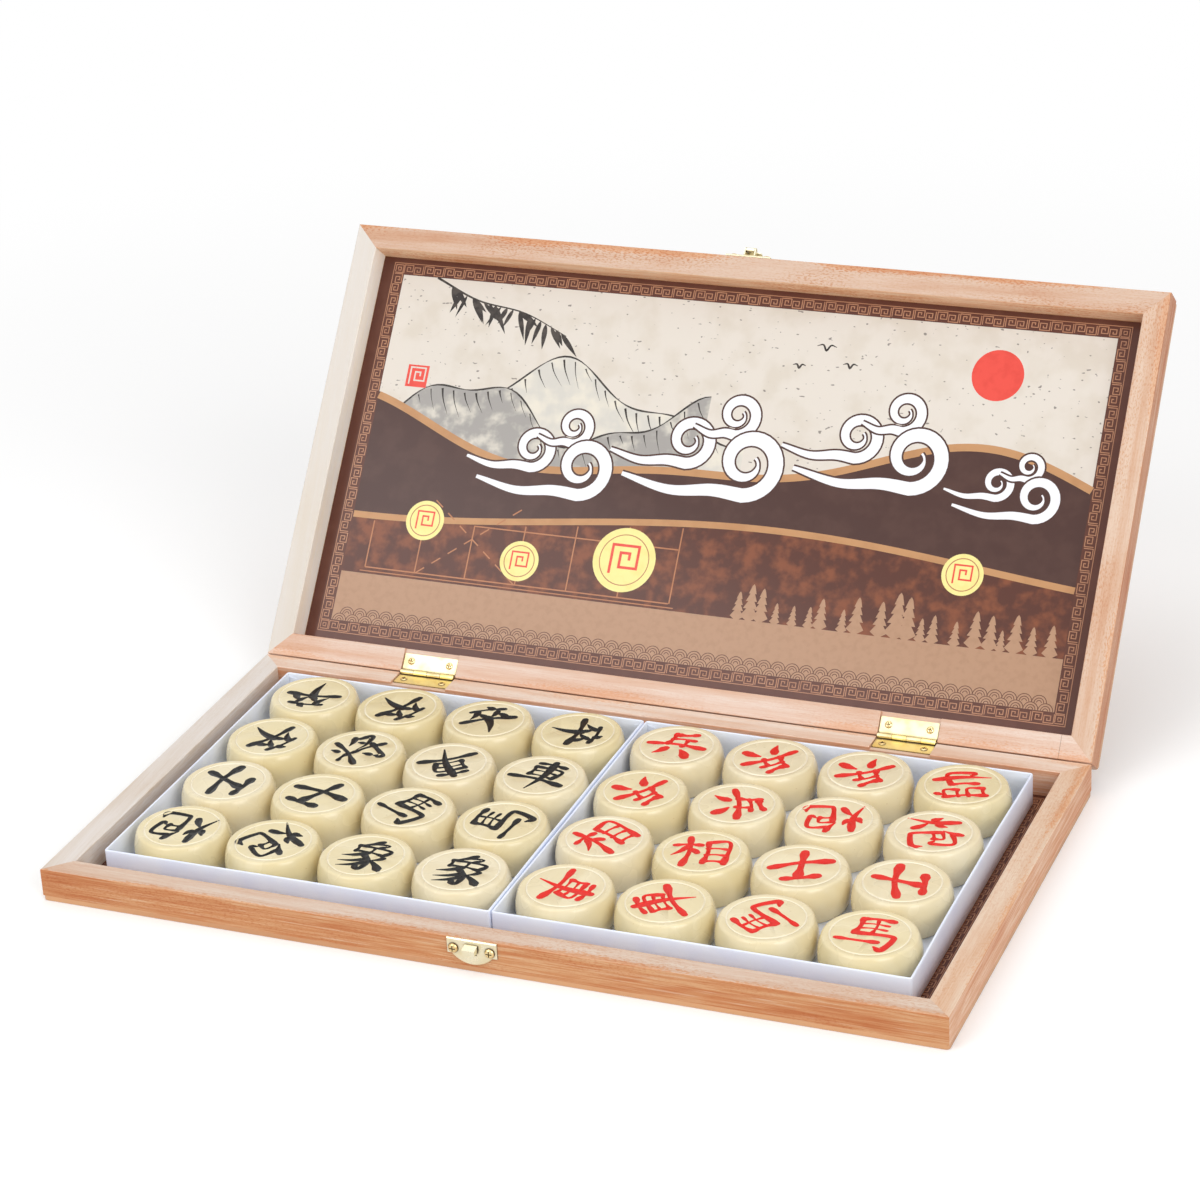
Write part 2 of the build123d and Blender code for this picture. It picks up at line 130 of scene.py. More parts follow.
def planed_wood(name, rim, side, streak, fleck, figure, fringe, along, turn, facing, edge, seed, end_joint):
    """Rail wood: rim colour on the rim, side colour, which holds painted light, on the faces; figure along
    the grain.
    """
    material, tree, place = start_finish(name)
    normal = node(tree, "TexCoord", output=1)
    on_rim = node(tree, "VectorMath", {0: normal, 1: facing}, 1, operation="DOT_PRODUCT")
    on_rim = between(tree, on_rim, 0.55, 0.8)

    def run(length, width):
        return (length, width, width) if along == "x" else (width, length, width)

    bands = grain(tree, place, run(150, 5.5), 2.0, turn, seed)
    fibres = grain(tree, place, run(22, 0.55), 4.0, turn, seed + 1)
    hairs = grain(tree, place, run(7, 0.16), 2.0, turn, seed + 2)
    clouds = grain(tree, place, run(46, 19), 2.0, turn, seed + 3)
    flecks = grain(tree, place, run(1.5, 0.55), 2.0, turn, seed + 4)
    fleck_patch = grain(tree, place, run(60, 12), 1.0, turn, seed + 5)
    ray_marks = between(tree, flecks, 0.5, 0.62)
    patch = between(tree, fleck_patch, 0.4, 0.62, 0.25, 1.0)
    ray_marks = calc(tree, "MULTIPLY", ray_marks, patch)
    colour = mixed(tree, on_rim, side, rim)
    colour = mixed(tree, between(tree, bands, 0.38, 0.7, 0.0, 0.55), colour, streak, "MULTIPLY")
    colour = mixed(tree, between(tree, clouds, 0.45, 0.8, 0.0, 0.4), colour, streak, "MULTIPLY")
    rings = grain(tree, place, run(110, 14), 2.5, turn, seed + 6)
    rings = calc(tree, "SINE", calc(tree, "MULTIPLY", rings, ring_tightness))
    patchy = between(tree, grain(tree, place, run(80, 8), 1.0, turn, seed + 7), 0.35, 0.65, 0.15, 1.0)
    face_share = between(tree, on_rim, 0.0, 1.0, 1.0, rim_figure)
    rings = calc(tree, "MULTIPLY", between(tree, rings, -0.3, 1.0, 0.0, figure), patchy)
    colour = mixed(tree, calc(tree, "MULTIPLY", rings, face_share), colour, streak, "MULTIPLY")
    fibre_share = calc(tree, "MULTIPLY", between(tree, fibres, 0.62, 0.36, 0.0, 0.3 + figure), face_share)
    colour = mixed(tree, fibre_share, colour, streak, "MULTIPLY")
    pale = calc(tree, "MULTIPLY", between(tree, fibres, 0.58, 0.74, 0.0, 0.35), face_share)
    colour = mixed(tree, pale, colour, rim)
    hair_shade = between(tree, hairs, 0.56, 0.7, 0.0, 0.4)
    colour = mixed(tree, hair_shade, colour, streak, "MULTIPLY")
    colour = mixed(tree, calc(tree, "MULTIPLY", ray_marks, fleck), colour, streak, "MULTIPLY")
    outward, reach = edge
    to_edge = node(tree, "VectorMath", {0: place, 1: outward}, 1, operation="DOT_PRODUCT")
    to_edge = calc(tree, "SUBTRACT", to_edge, reach)
    ragged = calc(tree, "MULTIPLY", calc(tree, "SUBTRACT", flecks, 0.5), 6 * mm)
    wander = between(tree, fleck_patch, 0.3, 0.7, -2.5 * mm, 2.0 * mm)
    to_edge = calc(tree, "ADD", calc(tree, "ADD", to_edge, ragged), wander)
    stain = between(tree, to_edge, -2.2 * mm, -0.4 * mm)
    stain = calc(tree, "MULTIPLY", stain, calc(tree, "MULTIPLY", on_rim, fringe))
    colour = mixed(tree, stain, colour, srgb(254, 214, 172), "MULTIPLY")
    if end_joint:
        across = node(tree, "SeparateXYZ", {0: place})
        off_joint = calc(tree, "ABSOLUTE", calc(tree, "SUBTRACT", across, end_joint_x))
        glue_line = calc(tree, "LESS_THAN", off_joint, end_joint_width)
        colour = mixed(tree, calc(tree, "MULTIPLY", glue_line, 0.6), colour, srgb(120, 74, 50))
    roughness = between(tree, fibres, 0.3, 0.7, 0.56, 0.44)
    relief = calc(tree, "ADD", fibres, calc(tree, "MULTIPLY", hairs, 0.5))
    end_finish(tree, colour, roughness, relief, 0.035, Specular_IOR_Level=0.35)
    return material


base_facing = Vector((0, 0, 1))
# Besides the wood's own tone, each side colour holds painted light: it is made paler or darker than its rim
# to stand in for the light its faces get, most of all on the inner faces of the lid's front and left rails,
# which are much paler than their rims.
cream = dict(
    rim=srgb(224, 216, 210),
    side=srgb(242, 232, 220),
    streak=srgb(240, 230, 216),
    fleck=0.2,
    figure=0.35,
    fringe=0.0,
)
beech = dict(streak=srgb(234, 194, 158), fleck=0.5, figure=0.3, fringe=0.5)
beech_front = dict(beech, rim=srgb(219, 200, 184), side=srgb(207, 160, 117), figure=0.4, fringe=0.75)
beech_right = dict(beech, rim=srgb(228, 205, 183), side=srgb(224, 188, 160), fleck=0.35, figure=0.4)
beech_rear = dict(beech, rim=srgb(234, 218, 205), side=srgb(230, 198, 175), fleck=0.2)
lid_front = dict(beech_front, rim=srgb(211, 185, 166), side=srgb(255, 228, 200), figure=0.3, fleck=0.8)
lid_left = dict(cream, rim=srgb(217, 210, 203), side=srgb(255, 252, 246), streak=srgb(252, 248, 240))
lid_right = dict(beech_right, rim=srgb(217, 192, 172), side=srgb(205, 158, 127), fleck=0.6)
# each rail's wood, the way its grain runs, and whether a short length is let into it
rail_finishes = {
    "base_front_rail": (beech_front, "x", False),
    "base_rear_rail": (beech_rear, "x", False),
    "base_left_rail": (cream, "y", False),
    "base_right_rail": (beech_right, "y", False),
    "lid_front_rail": (lid_front, "x", False),
    "lid_rear_rail": (dict(beech_rear, rim=srgb(228, 208, 195)), "x", True),
    "lid_left_rail": (lid_left, "y", False),
    "lid_right_rail": (lid_right, "y", False),
}
for seed, (rail, (look, along, end_joint)) in enumerate(rail_finishes.items()):
    on_lid = rail.startswith("lid")
    slope = radians(4) if rail.endswith("left_rail") else 0.0
    turn = (lid_tilt if on_lid else 0.0, 0.0, slope)
    facing = lid_inward if on_lid else base_facing
    to_front = lid_up if on_lid else Vector((0, -1, 0))
    ways = {"front": to_front, "rear": -to_front, "left": Vector((-1, 0, 0)), "right": Vector((1, 0, 0))}
    outward = ways[rail.split("_")[1]]
    reach = max(outward.dot(corner.co) for corner in frame["nodes"][rail].data.vertices)
    finish = planed_wood(
        rail + "_wood",
        along=along,
        turn=turn,
        facing=facing,
        edge=(outward, reach),
        seed=11 * seed,
        end_joint=end_joint,
        **look,
    )
    frame["nodes"][rail].data.materials.clear()
    frame["nodes"][rail].data.materials.append(finish)

# ---- Outer boards --------------------------------------------------------------------------
# A thin varnished board closes each half and is glued under the rails. The halves lie flat side
# by side, outside up, as the playing board: half of the grid is printed on each in dark ink.
panel_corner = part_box("base_panel")[1]
half_length, half_width, panel_thickness = panel_corner.x * 2, panel_corner.y * 2, panel_corner.z
hinge_axis = Vector(lid_joint["pos_m"])
lid_underside = hinge_axis + lid_up * hinge_axis.y - lid_inward * hinge_axis.z
square = 40.0
files, ranks = 9, 5
fold = hinge_axis.y / mm  # the middle of the river, from the half's own middle
first_rank = fold - square / 2
grid_side = square * (files - 1) / 2
grid_line, frame_line = 0.55, 1.3
frame_margin = 4.0
board_corner = 1.5  # radius of the board's rounded corners
tick_gap, tick_arm = 1.5, 4.5  # the ticks round the soldiers' and cannons' places
ticked_places = [(1, 2), (7, 2), (0, 1), (2, 1), (4, 1), (6, 1), (8, 1)]  # file, rank


def seat(origin, right, up):
    """Where a flat face lies: its middle, its right-hand direction and its upward one."""
    right, up = Vector(right), Vector(up)
    columns = Matrix((right, up, right.cross(up))).transposed()
    return Matrix.Translation(origin) @ columns.to_4x4()


def ribbon(points, width):
    """Outline of a line of this width, or of these widths, drawn through the points."""
    points = np.array(points, float)
    half = np.broadcast_to(np.array(width, float), len(points))[:, None] / 2
    step = np.diff(points, axis=0)
    step /= np.linalg.norm(step, axis=1)[:, None]
    normal = np.stack([-step[:, 1], step[:, 0]], 1)
    before, after = np.vstack([normal[:1], normal]), np.vstack([normal, normal[-1:]])
    mitre = (before + after) / (1 + (before * after).sum(1))[:, None]
    return [*(points - mitre * half), *(points + mitre * half)[::-1]]


def disc(x, y, radius, sides=40):
    return [(x + radius * cos(tau * k / sides), y + radius * sin(tau * k / sides)) for k in range(sides)]


def block(left, bottom, right, top):
    return [(left, bottom), (right, bottom), (right, top), (left, top)]


def anticlockwise(outline):
    """The outline's points as vectors, turned to run anticlockwise."""
    x, y = np.array(outline, float).T
    turned_left = np.dot(x, np.roll(y, -1)) > np.dot(y, np.roll(x, -1))
    return [Vector(point) for point in (outline if turned_left else outline[::-1])]


def printed_mesh(name, layers, thickness):
    """A flat sheet, printed side up. Layers are (ink number, outline) in the order of printing,
    in millimetres; the first is the sheet itself. Each ink covers what lies under it."""
    points, outlines = [], []
    for _, outline in layers:
        outlines.append(list(range(len(points), len(points) + len(outline))))
        points.extend(anticlockwise(outline))
    spots, _, tiles, _, _, owners = delaunay_2d_cdt(points, [], outlines, 0, 1e-4, True)
    sheet = bmesh.new()
    corners = [sheet.verts.new((spot.x * mm, spot.y * mm, 0)) for spot in spots]
    for tile, owner in zip(tiles, owners):
        if owner:
            sheet.faces.new([corners[k] for k in tile]).material_index = layers[max(owner)][0]
    rim = [edge for edge in sheet.edges if edge.is_boundary]
    sides = bmesh.ops.extrude_edge_only(sheet, edges=rim)["geom"]
    lower = [part for part in sides if isinstance(part, bmesh.types.BMVert)]
    bmesh.ops.translate(sheet, verts=lower, vec=(0, 0, -thickness))
    bmesh.ops.contextual_create(sheet, geom=[edge for edge in sheet.edges if edge.is_boundary])
    bmesh.ops.recalc_face_normals(sheet, faces=sheet.faces)
    mesh = bpy.data.meshes.new(name)
    sheet.to_mesh(mesh)
    sheet.free()
    return mesh


def fit(name, mesh, place, body, slot, finishes, *nodes):
    """Puts a finished piece in its place on its body, instead of these plain solids."""
    piece = bpy.data.objects.new(name, mesh)
    bpy.context.scene.collection.objects.link(piece)
    if not mesh.materials:
        for finish in finishes:
            mesh.materials.append(finish)
    piece.matrix_world = place
    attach(piece, body)
    if nodes:
        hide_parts(*nodes)
    return piece


def veneer(name, pale, dark, turn, seed):
    """Peeled birch: wide, soft, wavy figure under a satin varnish."""
    material, tree, place = start_finish(name)
    figure = grain(tree, place, (190, 14, 60), 3.0, turn, seed)
    fibres = grain(tree, place, (16, 0.5, 2), 3.0, turn, seed + 1)
    colour = mixed(tree, between(tree, figure, 0.35, 0.7), pale, dark)
    shade = mixed(tree, fibres, srgb(236, 224, 208), srgb(255, 255, 255))
    colour = mixed(tree, 0.5, colour, shade, "MULTIPLY")
    roughness = between(tree, fibres, 0.3, 0.7, 0.46, 0.36)
    end_finish(tree, colour, roughness, fibres, 0.02, Coat_Weight=0.25, Coat_Roughness=0.2)
    return material


def board_ink(name, colour):
    """Screen-printed lines, a little uneven where the grain took less ink."""
    material, tree, place = start_finish(name)
    wear = grain(tree, place, (2.2, 1.1, 2.2), 3.0)
    tone = mixed(tree, between(tree, wear, 0.5, 0.8, 0.0, 0.35), colour, srgb(176, 130, 92))
    end_finish(tree, tone, 0.42, wear, 0.01)
    return material


def playing_grid():
    """Half of the playing board, seen from outside, with the hinges at the top."""
    side, front = half_length / 2 / mm, half_width / 2 / mm
    sheet = []
    for x, y, start in ((1, -1, -90), (1, 1, 0), (-1, 1, 90), (-1, -1, 180)):
        for k in range(5):
            angle = radians(start + 22.5 * k)
            centre = Vector((x * (side - board_corner), y * (front - board_corner)))
            sheet.append(centre + Vector((cos(angle), sin(angle))) * board_corner)
    last_rank = first_rank - square * (ranks - 1)
    frame_side, frame_end = grid_side + frame_margin, last_rank - frame_margin
    layers = [(0, sheet)]
    for rank in range(ranks):
        y = first_rank - rank * square
        layers.append((1, ribbon([(-grid_side, y), (grid_side, y)], grid_line)))
    for file in range(files):
        x = -grid_side + file * square
        top = front if file in (0, files - 1) else first_rank
        layers.append((1, ribbon([(x, last_rank), (x, top)], grid_line)))
    for way in (-1, 1):
        palace = [(-square * way, last_rank), (square * way, last_rank + 2 * square)]
        layers.append((1, ribbon(palace, grid_line)))
    border = [(-frame_side, front), (-frame_side, frame_end), (frame_side, frame_end), (frame_side, front)]
    layers.append((1, ribbon(border, frame_line)))
    for file, rank in ticked_places:
        x, y = -grid_side + file * square, first_rank - rank * square
        for right, up in ((-1, -1), (-1, 1), (1, -1), (1, 1)):
            near_x, near_y = x + right * tick_gap, y + up * tick_gap
            if abs(near_x) < grid_side:
                across, along = (near_x + right * tick_arm, near_y), (near_x, near_y + up * tick_arm)
                tick = [across, (near_x, near_y), along]
                layers.append((1, ribbon(tick, grid_line)))
    return layers


grid_mesh = printed_mesh("playing_grid", playing_grid(), panel_thickness)
line_ink = board_ink("board_line_ink", srgb(70, 44, 34))
for half, origin, up, body in (
    ("base", Vector((0, 0, 0)), Vector((0, 1, 0)), "base"),
    ("lid", lid_underside, -lid_up, "lid"),
):
    outward = Vector((0, 0, -1)) if half == "base" else -lid_inward
    right = up.cross(outward)
    turn = (0 if half == "base" else lid_tilt, 0, 0)
    wood = veneer(half + "_board_veneer", srgb(212, 162, 118), srgb(194, 140, 98), turn, len(half))
    mesh = grid_mesh.copy()
    where = seat(origin, right, up)
    fit(half + "_outer_board", mesh, where, body, "board_panel", (wood, line_ink), half + "_panel")

# ---- Printed liners ------------------------------------------------------------------------
# A glossy printed card is glued inside the lid and a darker sheet lies inside the base. Both
# have a square fret round a plain border; the lid's shows hills, clouds and a small board.
liner_low, liner_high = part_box("base_printed_sheet")
liner_thickness = liner_high.z - liner_low.z
liner_side, liner_end = liner_high.x / mm, liner_high.y / mm
border_side, border_foot, border_head = 6.4, 5.8, 3.2
fret_depth, fret_pitch, fret_line = 4.0, 5.1, 0.4
fret_gap = 0.75  # fret to the thin line outside it and to the field inside
thin_line = 0.35
fret_unit = [(0, 0), (0, 1), (0.84, 1), (0.84, 0.24), (0.28, 0.24), (0.28, 0.74), (0.57, 0.74), (0.57, 0.5)]
inks = [
    "border_brown",
    "fret_tan",
    "parchment",
    "far_hill_wash",
    "near_hill_wash",
    "seal_red",
    "night_brown",
    "ochre",
    "lower_brown",
    "kraft_tan",
    "grid_ochre",
    "disc_yellow",
    "cloud_white",
    "brush_black",
]
number = {name: place for place, name in enumerate(inks)}
sun, sun_radius = (118, 62), 11.5
kraft_height, small_line = 22.8, 0.6
small_square, small_columns, small_rows = 24.4, 6, 2
wave_width = 6.4
leaf_count = 26
seal_place, seal_half = (-150.0, 36.0), 5.2
clouds = ((-62, 2, 13.0, 1), (14, 12, 15.0, 1), (88, 22, 14.0, 1), (144, 10, 9.5, 1))  # x, y, size, hand
birds = ((40, 66, 4.5), (52, 59, 3.4), (29, 57, 3.0))  # x, y, half a wingspan
bamboo_stem = ((-150, 0), (-128, -9), (-104, -13), (-82, -22))  # from the field's upper edge
field_left = border_side + fret_depth + fret_gap - liner_side
field_right = liner_side - border_side - fret_depth - fret_gap
field_foot = border_foot + fret_depth + fret_gap - liner_end
field_head = liner_end - border_head - fret_depth - fret_gap


def curve(points, steps=8):
    """A smooth line through the points."""
    points = np.array(points, float)
    ends = np.vstack([2 * points[0] - points[1], points, 2 * points[-1] - points[-2]])
    line = []
    for k in range(len(points) - 1):
        a, b, c, d = ends[k : k + 4]
        for t in np.arange(steps) / steps:
            squared = (2 * a - 5 * b + 4 * c - d) * t**2
            cubed = (3 * b - a - 3 * c + d) * t**3
            line.append(0.5 * (2 * b + (c - a) * t + squared + cubed))
    return np.array([*line, points[-1]])


def fret_frame(left, foot, right, head, ink):
    """Square spirals, alternately up and down, round the inside of a rectangle."""
    corners = np.array([(left, foot), (right, foot), (right, head), (left, head)])
    layers = []
    for k in range(4):
        run = corners[(k + 1) % 4] - corners[k]
        length = np.linalg.norm(run)
        along = run / length
        inward = np.array([-along[1], along[0]])
        count = round((length - 2 * fret_depth) / fret_pitch)
        pitch = (length - 2 * fret_depth) / count
        for unit in range(count):
            start = corners[k] + along * (fret_depth + unit * pitch)
            flip = unit % 2
            spiral = []
            for u, v in fret_unit:
                forward = along * pitch * (0.92 - u if flip else 0.08 + u)
                rise = inward * fret_depth * (1 - v if flip else v)
                spiral.append(start + forward + rise)
            layers.append((ink, ribbon(spiral, fret_line)))
        corner = corners[k] + (along + inward) * fret_depth / 2
        for size in (0.92, 0.36):
            reach = size * fret_depth / 2
            x, y = corner
            ring = [*block(x - reach, y - reach, x + reach, y + reach), (x - reach, y - reach + fret_line)]
            layers.append((ink, ribbon(ring, fret_line)))
    return layers


def outline_frame(left, foot, right, head, width, ink):
    """A thin line round a rectangle."""
    half = width / 2
    sides = [
        block(left - half, foot - half, right + half, foot + half),
        block(left - half, head - half, right + half, head + half),
        block(left - half, foot, left + half, head),
        block(right - half, foot, right + half, head),
    ]
    return [(ink, side) for side in sides]


def liner_frame():
    """The sheet, its fret and the thin line outside the fret."""
    left, right = border_side - liner_side, liner_side - border_side
    foot, head = border_foot - liner_end, liner_end - border_head
    layers = [(number["border_brown"], block(-liner_side, -liner_end, liner_side, liner_end))]
    outside = (left - fret_gap, foot - fret_gap, right + fret_gap, head + fret_gap)
    layers += outline_frame(*outside, thin_line, number["fret_tan"])
    return layers + fret_frame(left, foot, right, head, number["fret_tan"])


def skyline(x):
    """Top of the dark hills in the lid's print."""
    return 13 + 13 * np.cos((x - 112) / 50) + 5 * np.cos((x + 30) / 24)


def lower_line(x):
    return -24 + 7 * np.cos((x - 30) / 62)


def scroll(x, y, size, hand, tail, thick):
    """A curled cloud: a spiral head and a long flowing tail, thick to thin."""
    turns = np.linspace(0, 1.35 * tau, 44)
    radius = size * (1 - 0.74 * turns / turns[-1])
    head = np.stack([x + hand * radius * np.sin(turns), y - radius * np.cos(turns)], 1)
    flow = [
        (x - hand * tail, y - size * 0.72),
        (x - hand * tail * 0.6, y - size * 1.05),
        (x - hand * tail * 0.25, y - size * 0.93),
        (x, y - size),
    ]
    points = np.vstack([curve(flow, 8)[:-1], head])
    share = np.linspace(0, 1, len(points))
    return points, thick * (0.16 + 0.84 * np.sin(pi * np.minimum(1, share * 1.05 + 0.02)) ** 0.7)


def cloud(x, y, size, hand):
    """Three white curls edged in brown, the largest in front."""
    parts = [
        scroll(x - hand * 1.9 * size, y + 0.5 * size, 0.72 * size, hand, 2.4 * size, 0.34 * size),
        scroll(x - hand * 0.55 * size, y + 1.4 * size, 0.62 * size, hand, 1.3 * size, 0.3 * size),
        scroll(x, y, size, hand, 3.8 * size, 0.44 * size),
    ]
    layers = []
    for points, width in parts:
        layers.append((number["night_brown"], ribbon(points, width + 1.6)))
        layers.append((number["cloud_white"], ribbon(points, width)))
    return layers


def pine(x, foot, height):
    """A small pine in silhouette."""
    tiers = 4
    outline = [(x - 0.5, foot), (x + 0.5, foot)]
    for way in (1, -1):
        edge = []
        for tier in range(tiers):
            low = foot + height * (0.14 + 0.2 * tier)
            reach = height * 0.24 * (1 - 0.19 * tier)
            edge += [(x + way * reach, low), (x + way * reach * 0.42, low + height * 0.2)]
        edge.append((x, foot + height))
        outline += edge if way > 0 else edge[:-1][::-1]
    return outline


def leaf(x, y, angle, length, width):
    """A bamboo leaf, blunt at its stalk and drawn out to a point."""
    spine = np.linspace(0, 1, 9)
    along = np.array([cos(angle), sin(angle)])
    points = np.array([x, y]) + np.outer(spine * length, along)
    return ribbon(points, width * np.sin(pi * spine**0.7) + 0.05)


def lid_print():
    """What is printed on the lid's card, from the bottom layer up."""
    hand = random.Random(3)
    layers = liner_frame()
    layers.append((number["parchment"], block(field_left, field_foot, field_right, field_head)))
    across = np.linspace(field_left, field_right, 121)
    hills = [
        ("far_hill_wash", -150, 12, 34 + 13 * np.cos((across + 78) / 23) + 5 * np.cos((across + 20) / 9.5)),
        ("near_hill_wash", -167, -8, 24 + 12 * np.cos((across + 121) / 18) + 4 * np.cos((across + 8) / 7.3)),
    ]
    for wash, start, stop, height in hills:
        inside = (across >= start) & (across <= stop)
        ridge = np.stack([across[inside], height[inside]], 1)
        layers.append((number[wash], [*ridge, (ridge[-1][0], -4), (ridge[0][0], -4)]))
        pressed = 0.35 + 0.55 * np.abs(np.sin(np.arange(len(ridge)) * 0.45))
        layers.append((number["brush_black"], ribbon(ridge, pressed)))
        for x, y in ridge[2:-2:2]:
            length, lean = hand.uniform(5, 15), hand.uniform(0.25, 0.6)
            knee = (x + lean * length * 0.3, y - length * 0.5)
            fall = curve([(x, y - 1.5), knee, (x + lean * length, y - length)])
            width = np.linspace(hand.uniform(0.5, 1.1), 0.08, len(fall))
            layers.append((number["brush_black"], ribbon(fall, width)))
    layers.append((number["seal_red"], disc(*sun, sun_radius)))
    dark = [*np.stack([across, skyline(across)], 1), (field_right, field_foot), (field_left, field_foot)]
    layers.append((number["night_brown"], dark))
    low = [*np.stack([across, lower_line(across)], 1), (field_right, field_foot), (field_left, field_foot)]
    layers.append((number["lower_brown"], low))
    inner = np.linspace(field_left + 0.1, field_right - 0.1, 121)
    layers.append((number["ochre"], ribbon(np.stack([inner, skyline(inner) - 1.6], 1), 3.4)))
    layers.append((number["ochre"], ribbon(np.stack([inner, lower_line(inner)], 1), 3.0)))
    return layers + lid_details()


def lid_details():
    """Board, discs, pines, waves, clouds, bamboo, birds and seal."""
    kraft_head = field_foot + kraft_height
    grid_left, grid_foot, step = -156.0, kraft_head + 3.0, small_square
    layers = []
    grid_right, grid_head = grid_left + small_columns * step, grid_foot + small_rows * step
    for column in range(small_columns + 1):
        x = grid_left + column * step
        top = min(grid_head, lower_line(x) - 2.2)
        layers.append((number["grid_ochre"], ribbon([(x, grid_foot), (x, top)], small_line)))
    for row in range(small_rows + 1):
        y = grid_foot + row * step
        reach = [x for x in np.arange(grid_left, grid_right, 0.5) if lower_line(x) - 2.2 > y]
        if reach:
            layers.append((number["grid_ochre"], ribbon([(reach[0], y), (reach[-1], y)], small_line)))
    middle, dashes = grid_left + 2 * step, 7
    for way in (-1, 1):
        for part in range(dashes):
            dash = []
            for share in (part / dashes, (part + 0.55) / dashes):
                dash.append((middle + way * step * (1 - 2 * share) * 0.98, grid_foot + step * 1.5 * share))
            layers.append((number["grid_ochre"], ribbon(dash, small_line)))
    layers.append((number["kraft_tan"], block(field_left, field_foot, field_right, kraft_head)))
    ledge = block(grid_left - 2.25, kraft_head + 0.95, grid_right + 2.25, kraft_head + 1.45)
    layers.append((number["grid_ochre"], ledge))
    place = random.Random(7)
    x = 22.0
    while x < field_right - 6:
        layers.append((number["kraft_tan"], pine(x, kraft_head - 0.5, place.uniform(9, 21))))
        x += place.uniform(4.5, 11)
    wave = wave_width
    for row in range(2):
        foot = field_foot + row * wave * 0.5
        count = int((field_right - field_left) / wave)
        spare = field_right - field_left - (count - 1 + row % 2) * wave
        start = field_left + spare / 2 + (row % 2) * wave
        turns = np.linspace(0.02, pi - 0.02, 14)
        for k in range(count - row % 2):
            for radius in (wave * 0.5, wave * 0.32, wave * 0.16):
                arc = [(start + k * wave + radius * cos(a), foot + radius * sin(a)) for a in turns]
                layers.append((number["border_brown"], ribbon(arc, 0.34)))
    discs = [
        (grid_left + step, grid_foot + step, 9.2),
        (grid_left + 3 * step, grid_foot + 0.45 * step, 9.2),
        (grid_left + 5 * step, grid_foot + 0.7 * step, 14.6),
        (118, kraft_head + 31, 9.2),
    ]
    for x, y, radius in discs:
        layers.append((number["disc_yellow"], disc(x, y, radius)))
        layers.append((number["grid_ochre"], disc(x, y, radius * 0.8)))
        layers.append((number["disc_yellow"], disc(x, y, radius * 0.8 - 0.45)))
        key = [(x + (u - 0.42) * radius, y + (v - 0.5) * radius * 0.9) for u, v in fret_unit]
        layers.append((number["seal_red"], ribbon(key, radius * 0.085)))
    for x, y, size, hand in clouds:
        layers += cloud(x, y, size, hand)
    stem = curve([(x, field_head + y) for x, y in bamboo_stem])
    layers.append((number["brush_black"], ribbon(stem, np.linspace(1.1, 0.35, len(stem)))))
    for k in range(leaf_count):
        x, y = stem[3 + int(k * (len(stem) - 4) / leaf_count)]
        hang = radians(place.uniform(-125, -25))
        blade = leaf(x, y, hang, place.uniform(8, 15), place.uniform(1.5, 2.5))
        layers.append((number["brush_black"], blade))
    for x, y, size in birds:
        wings = [(x - size, y + 0.4 * size), (x - 0.4 * size, y + 0.55 * size), (x, y)]
        wings += [(x + 0.4 * size, y + 0.55 * size), (x + size, y + 0.4 * size)]
        wings = curve(wings, 5)
        width = 0.25 + 0.7 * np.sin(np.linspace(0.05, pi - 0.05, len(wings)))
        layers.append((number["brush_black"], ribbon(wings, width)))
    seal_x, seal_y = seal_place
    seal = block(seal_x - seal_half, seal_y - seal_half, seal_x + seal_half, seal_y + seal_half)
    layers.append((number["seal_red"], seal))
    key = [(seal_x + (u - 0.42) * 8.6, seal_y + (v - 0.5) * 8.0) for u, v in fret_unit]
    layers.append((number["parchment"], ribbon(key, 0.7)))
    return layers


def print_ink(name, colour, second, share, lump, gloss):
    """Ink under a clear gloss film, with the film's faint orange-peel dimples."""
    material, tree, place = start_finish(name)
    lumps = grain(tree, place, (lump, lump, lump), 3.0, seed=len(name))
    dimples = grain(tree, place, (0.9, 0.9, 0.9), 2.0)
    waves = grain(tree, place, (26, 26, 26), 1.0)
    tone = mixed(tree, between(tree, lumps, 0.42, 0.7, 0.0, share), colour, second)
    if name.startswith("parchment"):
        specks = grain(tree, place, (2.6, 1.6, 2.0), 1.0, seed=5)
        tone = mixed(tree, between(tree, specks, 0.71, 0.75, 0.0, 0.75), tone, srgb(104, 96, 92))
    relief = calc(tree, "ADD", calc(tree, "MULTIPLY", dimples, 0.16), waves)
    end_finish(tree, tone, gloss, relief, 0.05, Specular_IOR_Level=0.15, Coat_Weight=0.4, Coat_Roughness=0.14)
    return material


liner_finishes = [
    print_ink("border_brown", srgb(88, 47, 34), srgb(100, 58, 44), 0.5, 9, 0.4),
    print_ink("fret_tan", srgb(180, 130, 98), srgb(156, 106, 78), 0.5, 6, 0.4),
    print_ink("parchment", srgb(218, 210, 200), srgb(208, 198, 184), 0.7, 14, 0.42),
    print_ink("far_hill_wash", srgb(206, 202, 194), srgb(226, 219, 204), 0.9, 11, 0.42),
    print_ink("near_hill_wash", srgb(160, 156, 152), srgb(214, 208, 196), 0.9, 8, 0.42),
    print_ink("seal_red", srgb(226, 78, 66), srgb(214, 66, 56), 0.6, 5, 0.4),
    print_ink("night_brown", srgb(70, 42, 36), srgb(82, 54, 46), 0.6, 10, 0.4),
    print_ink("ochre", srgb(190, 142, 98), srgb(176, 128, 86), 0.6, 8, 0.4),
    print_ink("lower_brown", srgb(84, 44, 32), srgb(132, 74, 46), 0.9, 7, 0.4),
    print_ink("kraft_tan", srgb(178, 140, 112), srgb(168, 130, 102), 0.6, 3, 0.42),
    print_ink("grid_ochre", srgb(180, 120, 82), srgb(164, 106, 72), 0.5, 8, 0.4),
    print_ink("disc_yellow", srgb(240, 228, 150), srgb(232, 216, 132), 0.6, 6, 0.4),
    print_ink("cloud_white", srgb(238, 238, 242), srgb(228, 228, 234), 0.5, 9, 0.4),
    print_ink("brush_black", srgb(48, 42, 40), srgb(84, 76, 70), 0.7, 4, 0.42),
]
